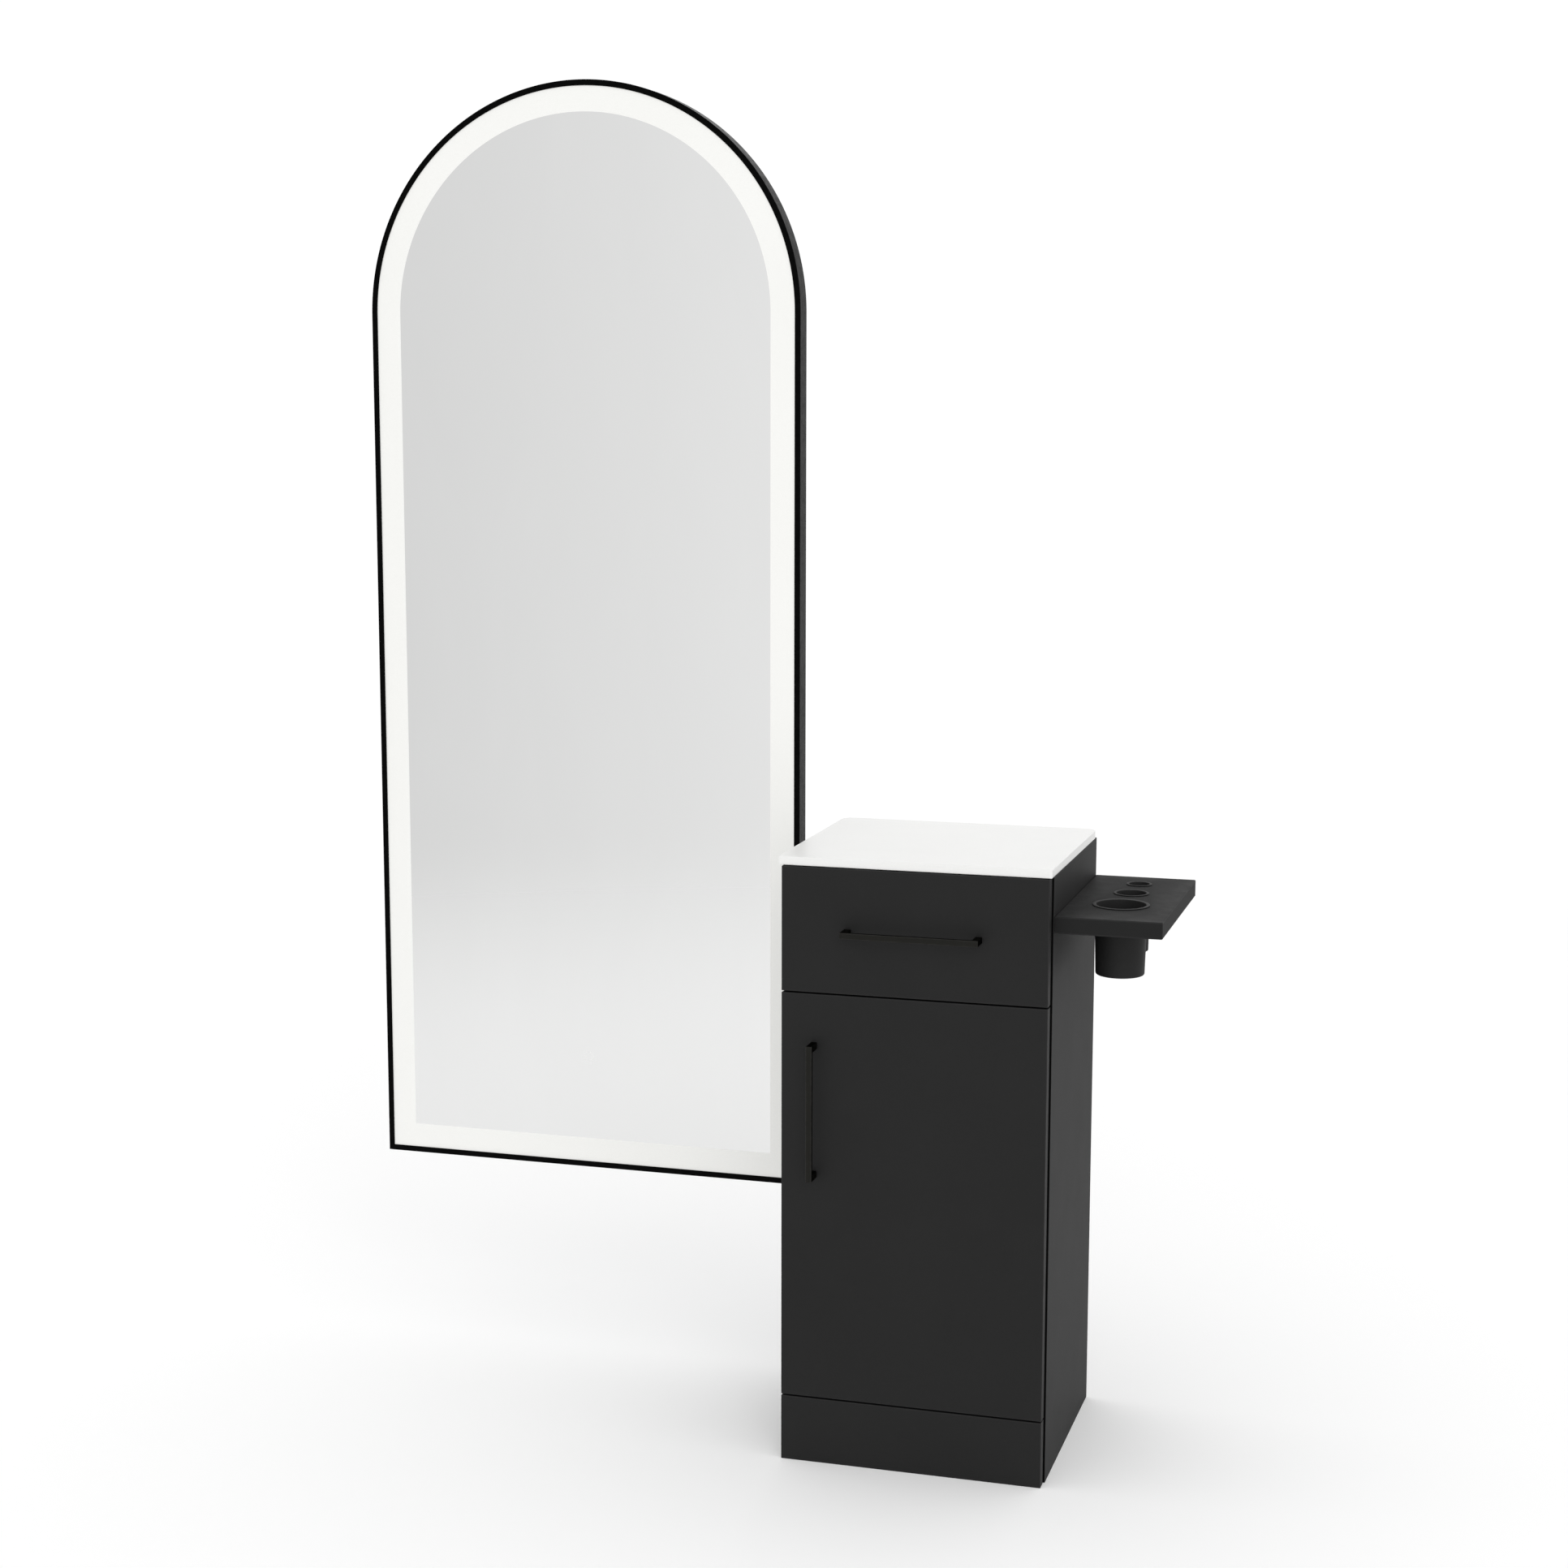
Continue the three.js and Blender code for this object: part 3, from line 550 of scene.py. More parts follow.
def lathe(name, profile, centre, segments=96, edge=None, angle=35, axis="z"):
    """Closed profile [(radius, height)] in metres turned about an axis through centre."""
    verts, faces, ev = [], [], []
    n = len(profile)
    ring = []
    for k, (rad, h) in enumerate(profile):
        if rad < 1e-9:
            ring.append([len(verts)])
            verts.append((0, 0, h))
            ev.append(edge[k] if edge else 0.0)
        else:
            ring.append(list(range(len(verts), len(verts) + segments)))
            for i in range(segments):
                t = 2 * math.pi * i / segments
                verts.append((rad * math.cos(t), rad * math.sin(t), h))
                ev.append(edge[k] if edge else 0.0)
    closed = profile[0][0] > 1e-9 and profile[-1][0] > 1e-9
    for k in range(n if closed else n - 1):
        a, b = ring[k], ring[(k + 1) % n]
        for i in range(segments):
            j = (i + 1) % segments
            if len(a) == 1 and len(b) == 1:
                continue
            if len(a) == 1:
                faces.append([a[0], b[j], b[i]])
            elif len(b) == 1:
                faces.append([a[i], a[j], b[0]])
            else:
                faces.append([a[i], a[j], b[j], b[i]])
    if axis == "y":
        verts = [(x, z, -y) for x, y, z in verts]
    elif axis == "x":
        verts = [(z, x, y) for x, y, z in verts]
    verts = [(x + centre[0], y + centre[1], z + centre[2]) for x, y, z in verts]
    o = make(name, verts, faces, ev, angle)
    outward(o)
    return o


def outward(o):
    bm = bmesh.new()
    bm.from_mesh(o.data)
    bmesh.ops.recalc_face_normals(bm, faces=bm.faces)
    bm.to_mesh(o.data)
    bm.free()
    o.data.update()


def chamfered(points, r, steps=3, keep=()):
    """Rounds the corners of a closed 2-D outline with radius r (or r[i]), returns points and a flag
    that is 1 on the rounded parts."""
    out, flag = [], []
    n = len(points)
    for i in range(n):
        rad = r[i] if isinstance(r, (list, tuple)) else r
        p0, p1, p2 = (np.array(points[(i + d) % n], float) for d in (-1, 0, 1))
        a, b = p0 - p1, p2 - p1
        la, lb = np.linalg.norm(a), np.linalg.norm(b)
        a, b = a / la, b / lb
        cosine = float(np.clip(a @ b, -1, 1))
        half = math.acos(cosine) / 2
        if rad <= 0 or half > math.radians(89):
            out.append(tuple(p1))
            flag.append(0.0)
            continue
        cutback = min(rad / math.tan(half), la * 0.49, lb * 0.49)
        rad = cutback * math.tan(half)
        centre = p1 + (a + b) / np.linalg.norm(a + b) * (rad / math.sin(half))
        s, e = p1 + a * cutback, p1 + b * cutback
        t0 = math.atan2(*(s - centre)[::-1])
        t1 = math.atan2(*(e - centre)[::-1])
        d = (t1 - t0 + math.pi) % (2 * math.pi) - math.pi
        for k in range(steps + 1):
            t = t0 + d * k / steps
            out.append((centre[0] + rad * math.cos(t), centre[1] + rad * math.sin(t)))
            flag.append(1.0)
    return out, flag


def prism(name, outline, z0, z1, r, place_fn, flags=None, steps=3, angle=40):
    """Outline extruded from z0 to z1 with both end rims rounded by radius r. The rim moves inwards
    along the outline's corner normals. place_fn maps (a, b, h) to frame coordinates."""
    pts = np.array(outline, float)
    n = len(pts)
    area = sum(pts[i][0] * pts[(i + 1) % n][1] - pts[(i + 1) % n][0] * pts[i][1] for i in range(n))
    if area < 0:
        pts = pts[::-1]
        flags = flags[::-1] if flags is not None else None
    prev, nxt = np.roll(pts, 1, 0), np.roll(pts, -1, 0)
    e0 = (pts - prev) / np.linalg.norm(pts - prev, axis=1)[:, None]
    e1 = (nxt - pts) / np.linalg.norm(nxt - pts, axis=1)[:, None]
    n0 = np.stack([e0[:, 1], -e0[:, 0]], 1)
    n1 = np.stack([e1[:, 1], -e1[:, 0]], 1)
    m = n0 + n1
    m = m / (1 + (n0 * n1).sum(1))[:, None]
    levels = []
    for k in range(steps + 1):
        t = math.pi / 2 * k / steps
        levels.append((r * (1 - math.sin(t)), z0 + r * (1 - math.cos(t)), 1.0))
    inset_first = [(x, z, e) for x, z, e in levels]
    low = [(r * (1 - math.sin(math.pi / 2 * k / steps)), z0 + r * (1 - math.cos(math.pi / 2 * k / steps)))
           for k in range(steps + 1)]
    high = [(i, z0 + z1 - z) for i, z in reversed(low)]
    rows = [(i, z, 1.0) for i, z in low] + [(i, z, 1.0) for i, z in high]
    rim = min(r * 1.2, (z1 - z0 - 2 * r) * 0.3)
    if rim > 1e-6:
        rows = rows[:steps + 1] + [(0.0, z0 + r + rim, 0.0), (0.0, z1 - r - rim, 0.0)] + rows[steps + 1:]
    cap = r + min(r * 1.2, 0.001)
    verts, ev = [], []
    for inset, z, e in rows:
        ring = pts - m * inset
        for i, p in enumerate(ring):
            verts.append(place_fn(p[0], p[1], z))
            ev.append(max(e, flags[i] if flags is not None else 0.0))
    faces = []
    for k in range(len(rows) - 1):
        for i in range(n):
            j = (i + 1) % n
            faces.append([k * n + i, k * n + j, (k + 1) * n + j, (k + 1) * n + i])
    top = len(rows) - 1
    faces.append([i for i in reversed(range(n))])
    faces.append([top * n + i for i in range(n)])
    o = make(name, verts, faces, ev, angle)
    outward(o)
    return weighted(o)


def rect(x0, x1, y0, y1):
    return [(x0, y0), (x1, y0), (x1, y1), (x0, y1)]


def joined(name, parts):
    """One object out of several made ones. Keeps the edge attribute."""
    bm = bmesh.new()
    for p in parts:
        bm.from_mesh(p.data)
    me = bpy.data.meshes.new(name)
    bm.to_mesh(me)
    bm.free()
    for p in parts:
        old = p.data
        bpy.data.objects.remove(p)
        bpy.data.meshes.remove(old)
    me.name = name
    o = bpy.data.objects.new(name, me)
    SCENE.collection.objects.link(o)
    me.set_sharp_from_angle(angle=math.radians(40))
    return weighted(o)


def dress(node, material, r=0.0004, segments=2, angle=35):
    """Keeps the CAD node, softens its arrises and gives it its finish."""
    o = NODES[node]
    w = o.modifiers.new("weld", "WELD")
    w.merge_threshold = 1e-5
    if r:
        b = o.modifiers.new("arris", "BEVEL")
        b.width = r
        b.segments = segments
        b.limit_method = "ANGLE"
        b.angle_limit = math.radians(angle)
        b.harden_normals = False
        b.use_clamp_overlap = True
    o.data.polygons.foreach_set("use_smooth", [True] * len(o.data.polygons))
    s = o.modifiers.new("weighted", "WEIGHTED_NORMAL")
    s.keep_sharp = True
    o.data.materials.clear()
    o.data.materials.append(material)
    return o


# ---------------------------------------------------------------------------
# carcass
# ---------------------------------------------------------------------------

mm = 0.001
PIN_YS, PIN_ROWS, PIN_Z = (-300, -60), (-64, 0, 64), 417.5


def pin_holes(side):
    rows = []
    for y in PIN_YS:
        for dz in PIN_ROWS:
            a, b = (P(5.5, y, 0).x, P(17.5, y, 0).x) if side == "left" else (P(383.5, y, 0).x, P(395.5, y, 0).x)
            rows.append(("x", 2.8, a, b, tuple(P(0, y, PIN_Z + dz)), 20))
    return rows


board("side_panel_left", M["case"], holes=pin_holes("left"), front_painted_shadow=M["gap"])
board("side_panel_right", M["case"], holes=pin_holes("right") + [
    ("x", 3.6, P(380, 0, 0).x, P(410, 0, 0).x, tuple(P(0, y, 846.4)), 24) for y in (-300, -50)], front_painted_shadow=M["gap"])
for n in ("bottom_panel", "divider_panel", "top_rail_front"):
    board(n, M["inner"], front_painted_shadow=M["gap"])
board("adjustable_shelf", M["inner"])
board("wall_rail", M["inner"], holes=[
    ("y", 3.5, P(0, -20, 0).y, P(0, 2, 0).y, tuple(P(x, 0, 873)), 28) for x in (80, 200.5, 321)])
board("back_panel", M["inner"], r=0.0004)
board("plinth_panel", M["front"])

# stone top: rounded back corners, eased arris
lo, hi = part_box("countertop")
outline, flag = chamfered(rect(lo.x, hi.x, lo.y, hi.y), [0.004, 0.004, 0.018, 0.018], 14)
place(prism("countertop_slab", outline, lo.z, hi.z, 0.0012, lambda a, b, h: (a, b, h), None, 5),
      "root", M["stone"], ["countertop"])

# ---------------------------------------------------------------------------
# drawer and door
# ---------------------------------------------------------------------------

PULL_Z, PULL_X = 823.3, 199.5
DOOR_X, DOOR_Z = 50.5, 550.7
SCREW_DX = (207 - 10) / 2

board("drawer_front", M["front"], holes=[
    ("y", 2.4, P(0, -384, 0).y, P(0, -358, 0).y, tuple(P(PULL_X + s * SCREW_DX, 0, PULL_Z)), 20) for s in (-1, 1)])
board("drawer_inner_front", M["inner"], holes=[
    ("y", 2.4, P(0, -364, 0).y, P(0, -344, 0).y, tuple(P(PULL_X + s * SCREW_DX, 0, PULL_Z)), 20) for s in (-1, 1)])
for n in ("drawer_side_left", "drawer_side_right", "drawer_back"):
    board(n, M["inner"])
board("drawer_bottom", M["inner"], r=0.0004)

board("door_panel", M["front"], holes=[
    ("y", 2.4, P(0, -384, 0).y, P(0, -358, 0).y, tuple(P(DOOR_X, 0, DOOR_Z + s * SCREW_DX)), 20) for s in (-1, 1)] + [
    ("y", 17.9, P(0, -374.1, 0).y, P(0, -358, 0).y, tuple(P(378.5, 0, z)), 56) for z in (205, 625)])


def pull(name, node, body, centre, upright):
    """Flat bar on two end legs."""
    l, out, t, leg, w = 103.5, 30.0, 6.0, 10.0, 9.3
    pts = [(-l, -0.3), (-l, -out), (l, -out), (l, -0.3), (l - leg, -0.3), (l - leg, -out + t),
           (-l + leg, -out + t), (-l + leg, -0.3)]
    outline, flag = chamfered(pts, [0, 1.3, 1.3, 0, 0, 1.6, 1.6, 0], 4)
    if upright:
        fn = lambda a, b, h: tuple(centre + Vector((h * mm, b * mm, a * mm)))
    else:
        fn = lambda a, b, h: tuple(centre + Vector((a * mm, b * mm, h * mm)))
    o = prism(name, outline, -w / 2, w / 2, 0.7, fn, None, 3)
    place(o, body, [M["pull"], M["pull_painted_shade"]], [node])
    # the face bar keeps the powder coat; its returns, top and legs get a near-black copy of it, painted shade
    o.data.polygons.foreach_set("material_index", [0 if p.normal.y < -0.35 else 1 for p in o.data.polygons])
    o.data.update()
    return o


pull("drawer_pull_bar", "drawer_pull", "drawer", P(PULL_X, -380.3, PULL_Z), False)
pull("door_pull_bar", "door_pull", "door", P(DOOR_X, -380.3, DOOR_Z), True)

# ---------------------------------------------------------------------------
# tool shelf and cups
# ---------------------------------------------------------------------------

CUPS = [("tool_cup_large", "cup_large", -238, 42.4, 39.2, 36.4, 2.4),
        ("tool_cup_medium", "cup_medium", -142.5, 26.8, 24.4, 22.6, 1.9),
        ("tool_cup_small", "cup_small", -64.5, 19.6, 17.2, 15.8, 1.7)]
lo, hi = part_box("tool_shelf")
outline, flag = chamfered(rect(lo.x, hi.x, lo.y, hi.y), [0, 0.002, 0.0035, 0], 6)
shelf = prism("tool_shelf_slab", outline, lo.z, hi.z, 0.0011, lambda a, b, h: (a, b, h), None, 4)
shelf.modifiers.clear()
drill(shelf, [cylinder_cutter("z", (c[4] + 0.7) / 1000, lo.z - 0.005, hi.z + 0.005, tuple(P(481.7, c[2], 0)), 96)
              for c in CUPS] + [
    cylinder_cutter("x", 0.003, lo.x - 0.002, lo.x + 0.038, tuple(P(0, y, 846.4)), 24) for y in (-300, -50)])
place(weighted(shelf), "root", M["shelf"], ["tool_shelf"])

for node, body, y, flange, mouth, foot, wall in CUPS:
    top, bottom, r = 1.5, -104.0, 3.0
    pts, e = [], []

    def add(a, b, v=0.0):
        pts.append((a / 1000, b / 1000))
        e.append(v)

    def arc(cx, cy, rad, t0, t1, steps, v):
        for i in range(steps + 1):
            t = math.radians(t0 + (t1 - t0) * i / steps)
            add(cx + rad * math.cos(t), cy + rad * math.sin(t), v)

    # outside: slightly dished foot, radius, tapered wall, flange with a rolled lip
    add(0, bottom + 1.2)
    add(foot - r - 3.2, bottom + 1.2)
    add(foot - r - 2.2, bottom)
    arc(foot - r, bottom + r, r, -90, 0, 8, 0.0)
    for k in range(1, 6):
        t = k / 6
        add(foot + (mouth - foot) * t, bottom + r + (-1.2 - bottom - r) * t)
    add(mouth, -0.6)
    add(mouth, 0.35)
    add(mouth + 0.4, 0.35)
    add(flange - 0.55, 0.35, 0.3)
    arc(flange - 0.58, 0.93, 0.57, -80, 90, 6, 1.0)
    # inside: soft shoulder, wall, floor radius
    sh = 1.1
    add(mouth - wall + sh + 0.4, top, 0.4)
    arc(mouth - wall + sh, top - sh, sh, 90, 180, 6, 0.7)
    for k in range(1, 6):
        t = k / 6
        add(mouth - wall + (foot - mouth) * t, top - sh + (bottom + wall + r - top + sh) * t)
    arc(foot - wall - r, bottom + wall + r, r, 0, -90, 8, 0.0)
    add(0, bottom + wall + 0.4)
    o = lathe(node + "_turned", pts, P(481.7, y, 858.9), 112, e, 50)
    place(o, body, M["cup"], [node])

# ---------------------------------------------------------------------------
# mirror
# ---------------------------------------------------------------------------

MX0, MX1, MZ0, MZ1, MY = -801.4, -71.3, 323.6, 2097.3, -36.9
MCX, MR = (MX0 + MX1) / 2, (MX1 - MX0) / 2
SPRING = MZ1 - MR


def arch_path(inset, steps=168, close_bottom=True):
    """Arched outline moved inwards by inset, anticlockwise from the lower right corner: (x, z, kind)."""
    r = MR - inset
    pts = [(MCX + r, MZ0 + inset)]
    for k in range(1, 9):
        pts.append((MCX + r, MZ0 + inset + (SPRING - MZ0 - inset) * k / 9))
    for i in range(steps + 1):
        a = math.pi * i / steps
        pts.append((MCX + r * math.cos(a), SPRING + r * math.sin(a)))
    for k in range(8, 0, -1):
        pts.append((MCX - r, MZ0 + inset + (SPRING - MZ0 - inset) * k / 9))
    pts.append((MCX - r, MZ0 + inset))
    return pts


def frame_section():
    """Section of the trim: (inset, depth) with a front face, a thin outer wall, and a ledge that
    carries the back plate. Rounded arrises."""
    face, lip, wall, ledge_v, ledge_t, ledge_w, depth = 9.5, 1.6, 1.8, 28, 1.6, 12, 35
    pts = [(0, 0), (0, depth), (wall, depth), (wall, ledge_v + ledge_t), (ledge_w, ledge_v + ledge_t),
           (ledge_w, ledge_v), (wall, ledge_v), (wall, lip), (face, lip), (face, 0)]
    rads = [0.9, 0.4, 0.4, 0.3, 0.4, 0.4, 0.5, 0.5, 0.45, 0.5]
    return chamfered(pts, rads, 3)


def frame_arch():
    section, flag = frame_section()
    paths = [arch_path(i) for i, _ in section]
    count = len(paths[0])
    n = len(section)
    verts, ev = [], []
    for k in range(count):
        for s, (inset, v) in enumerate(section):
            x, z = paths[s][k]
            verts.append(P(x, MY + v, z))
            ev.append(flag[s])
    faces = []
    for k in range(count - 1):
        for s in range(n):
            t = (s + 1) % n
            faces.append([k * n + s, k * n + t, (k + 1) * n + t, (k + 1) * n + s])
    faces.append(list(range(n)))
    faces.append([(count - 1) * n + s for s in reversed(range(n))])
    o = make("mirror_frame_bent_trim", verts, faces, ev, 35)
    outward(o)
    return place(weighted(o), "root", M["frame"], ["mirror_frame_arch"])


def frame_bottom():
    section, flag = frame_section()
    gap = 0.05
    verts, ev = [], []
    rows = 6
    n = len(section)
    for k in range(rows):
        t = k / (rows - 1)
        for s, (inset, v) in enumerate(section):
            a, b = MX0 + inset + gap, MX1 - inset - gap
            verts.append(P(a + (b - a) * t, MY + v, MZ0 + inset))
            ev.append(flag[s])
    faces = []
    for k in range(rows - 1):
        for s in range(n):
            t = (s + 1) % n
            faces.append([k * n + s, k * n + t, (k + 1) * n + t, (k + 1) * n + s])
    faces.append(list(range(n)))
    faces.append([(rows - 1) * n + s for s in reversed(range(n))])
    o = make("mirror_frame_bottom_rail", verts, faces, ev, 35)
    outward(o)
    return place(weighted(o), "root", M["frame"], ["mirror_frame_bottom"])


frame_arch()
frame_bottom()


def pane():
    """The glass: silvered field, etched band with a crisp inner boundary, ground edges."""
    band = 49.5
    rings = [(2.1 + 0.5, 1.9 + 4.0), (2.1, 1.9 + 3.5), (2.1, 1.9 + 0.5), (2.1 + 0.5, 1.9), (band, 1.9)]
    verts, mats, faces = [], [], []
    count = len(arch_path(0))
    for inset, v in rings:
        for x, z in arch_path(inset):
            verts.append(P(x, MY + v, z))
    for k in range(len(rings) - 1):
        for i in range(count):
            j = (i + 1) % count
            faces.append([k * count + i, k * count + j, (k + 1) * count + j, (k + 1) * count + i])
            mats.append(1 if k == 3 else 2)
    faces.append([(len(rings) - 1) * count + i for i in range(count)])
    mats.append(0)
    faces.append([i for i in reversed(range(count))])
    mats.append(2)
    o = make("mirror_glass_pane", verts, faces, None, 35)
    outward(o)
    place(o, "root", [M["silver"], M["etched"], M["glass_edge"]], ["mirror_glass"])
    o.data.polygons.foreach_set("material_index", mats)
    o.data.update()


pane()


def touch_mark():
    """Faint etched switch mark on the pane: a thin ring with a soft crescent inside it."""
    cx, cz = (MX0 + MX1) / 2, 511.7
    verts, faces = [], []

    def ribbon(r0, r1, a0, a1, steps, off=(0.0, 0.0), taper=False):
        base = len(verts)
        for i in range(steps + 1):
            a = math.radians(a0 + (a1 - a0) * i / steps)
            thin = math.sin(math.pi * (0.04 + 0.92 * i / steps)) if taper else 1.0
            mid, half = (r0 + r1) / 2, (r1 - r0) / 2 * thin
            for r in (mid - half, mid + half):
                for d in (0.0, 0.04):
                    verts.append(P(cx + off[0] + r * math.sin(a), MY + 1.9 - d, cz + off[1] + r * math.cos(a)))
        closed = abs(a1 - a0) >= 360
        for i in range(steps):
            b = base + 4 * i
            n = base if closed and i == steps - 1 else b + 4
            for p, q in ((0, 1), (1, 3), (3, 2), (2, 0)):
                faces.append([b + p, b + q, n + q, n + p])
        if closed:
            del verts[base + 4 * steps:]
        else:
            faces.append([base + k for k in (0, 2, 3, 1)])
            e = base + 4 * steps
            faces.append([e + k for k in (0, 1, 3, 2)])

    ribbon(7.9, 8.7, 0, 360, 72)
    ribbon(4.3, 5.9, 40, 160, 24, (0.6, 0.0), True)
    ribbon(4.6, 5.8, 225, 300, 18, (-0.4, 0.0), True)
    o = make("touch_mark", verts, faces, None, 30)
    outward(o)
    place(o, "root", M["touch"])


touch_mark()

# ---------------------------------------------------------------------------
# metalwork
# ---------------------------------------------------------------------------

AXES = {"x": (0, 1, 2), "y": (1, 2, 0), "z": (2, 0, 1)}


def frame_of(direction):
    """Rotation whose third column is the direction."""
    w = Vector(direction).normalized()
    u = Vector((0, 0, 1)) if abs(w.z) < 0.9 else Vector((1, 0, 0))
    u = (u - w * u.dot(w)).normalized()
    v = w.cross(u)
    return Matrix(((u.x, v.x, w.x), (u.y, v.y, w.y), (u.z, v.z, w.z)))


def boxed(lo, hi):
    v = [(x, y, z) for x in (lo[0], hi[0]) for y in (lo[1], hi[1]) for z in (lo[2], hi[2])]
    f = [[0, 1, 3, 2], [4, 6, 7, 5], [0, 4, 5, 1], [2, 3, 7, 6], [0, 2, 6, 4], [1, 5, 7, 3]]
    return v, f


_heads = {}


def head_mesh(radius, height, kind):
    """A screw head standing on z = 0, with its recess cut: cross, hex or plain rivet dome. Metres."""
    key = (radius, height, kind)
    if key in _heads:
        return _heads[key]
    r, h = radius, height
    prof = [(0, -h * 0.15), (r * 0.9, -h * 0.15), (r * 0.985, 0), (r, h * 0.18)]
    steps = 6
    for i in range(steps + 1):
        t = math.pi / 2 * i / steps
        if kind == "hex":
            prof.append((r - h * 0.35 * (1 - math.cos(t)), h * 0.65 + h * 0.35 * math.sin(t)))
        else:
            prof.append((r * (0.55 + 0.45 * math.cos(t)), h * (0.35 + 0.6 * math.sin(t))))
    prof.append((0, h))
    o = lathe("head", prof, (0, 0, 0), 36, None, 40)
    if kind == "cross":
        a, b = r * 0.58, r * 0.13
        drill(o, [boxed((-a, -b, h * 0.45), (a, b, h * 1.5))])
        drill(o, [boxed((-b, -a, h * 0.451), (b, a, h * 1.5))])
    elif kind == "hex":
        drill(o, [cylinder_cutter("z", r * 0.46, h * 0.35, h * 1.5, (0, 0, 0), 6)])
    verts = [tuple(v.co) for v in o.data.vertices]
    faces = [list(p.vertices) for p in o.data.polygons]
    old = o.data
    bpy.data.objects.remove(o)
    bpy.data.meshes.remove(old)
    _heads[key] = (verts, faces)
    return _heads[key]


def screws(name, spots, body, material, kind="cross"):
    """One piece made of screw heads: spots are (position, direction, radius mm, height mm)."""
    verts, faces = [], []
    for k, (position, direction, r, h) in enumerate(spots):
        v, f = head_mesh(r / 1000, h / 1000, kind)
        turn = Matrix.Rotation(0.7 * k + 0.3, 3, "Z")
        m = frame_of(direction) @ turn
        base = len(verts)
        verts += [tuple(m @ Vector(q) + Vector(position)) for q in v]
        faces += [[i + base for i in face] for face in f]
    o = make(name, verts, faces, None, 35)
    return place(o, body, material)


def merge_made(name, parts, body, material, nodes=()):
    """Joins made objects into one piece."""
    dg = bpy.context.evaluated_depsgraph_get()
    verts, faces, edge, smooth = [], [], [], []
    for o in parts:
        me = o.data
        base = len(verts)
        verts += [tuple(v.co) for v in me.vertices]
        faces += [[i + base for i in p.vertices] for p in me.polygons]
        a = me.attributes.get("edge")
        e = np.zeros(len(me.vertices), np.float32)
        if a is not None and a.domain == "POINT":
            a.data.foreach_get("value", e)
        edge += list(e)
    for o in parts:
        old = o.data
        bpy.data.objects.remove(o)
        bpy.data.meshes.remove(old)
    o = weighted(make(name, verts, faces, edge, 35))
    return place(o, body, material, nodes)


def strip(name, section, radii, a, b, fn, end=0.15, steps=3):
    """Sheet-metal profile: a section with rounded bends, extruded between a and b (all mm)."""
    outline, _ = chamfered(section, radii, steps)
    return prism(name, outline, a, b, end, fn, None, 2, 35)


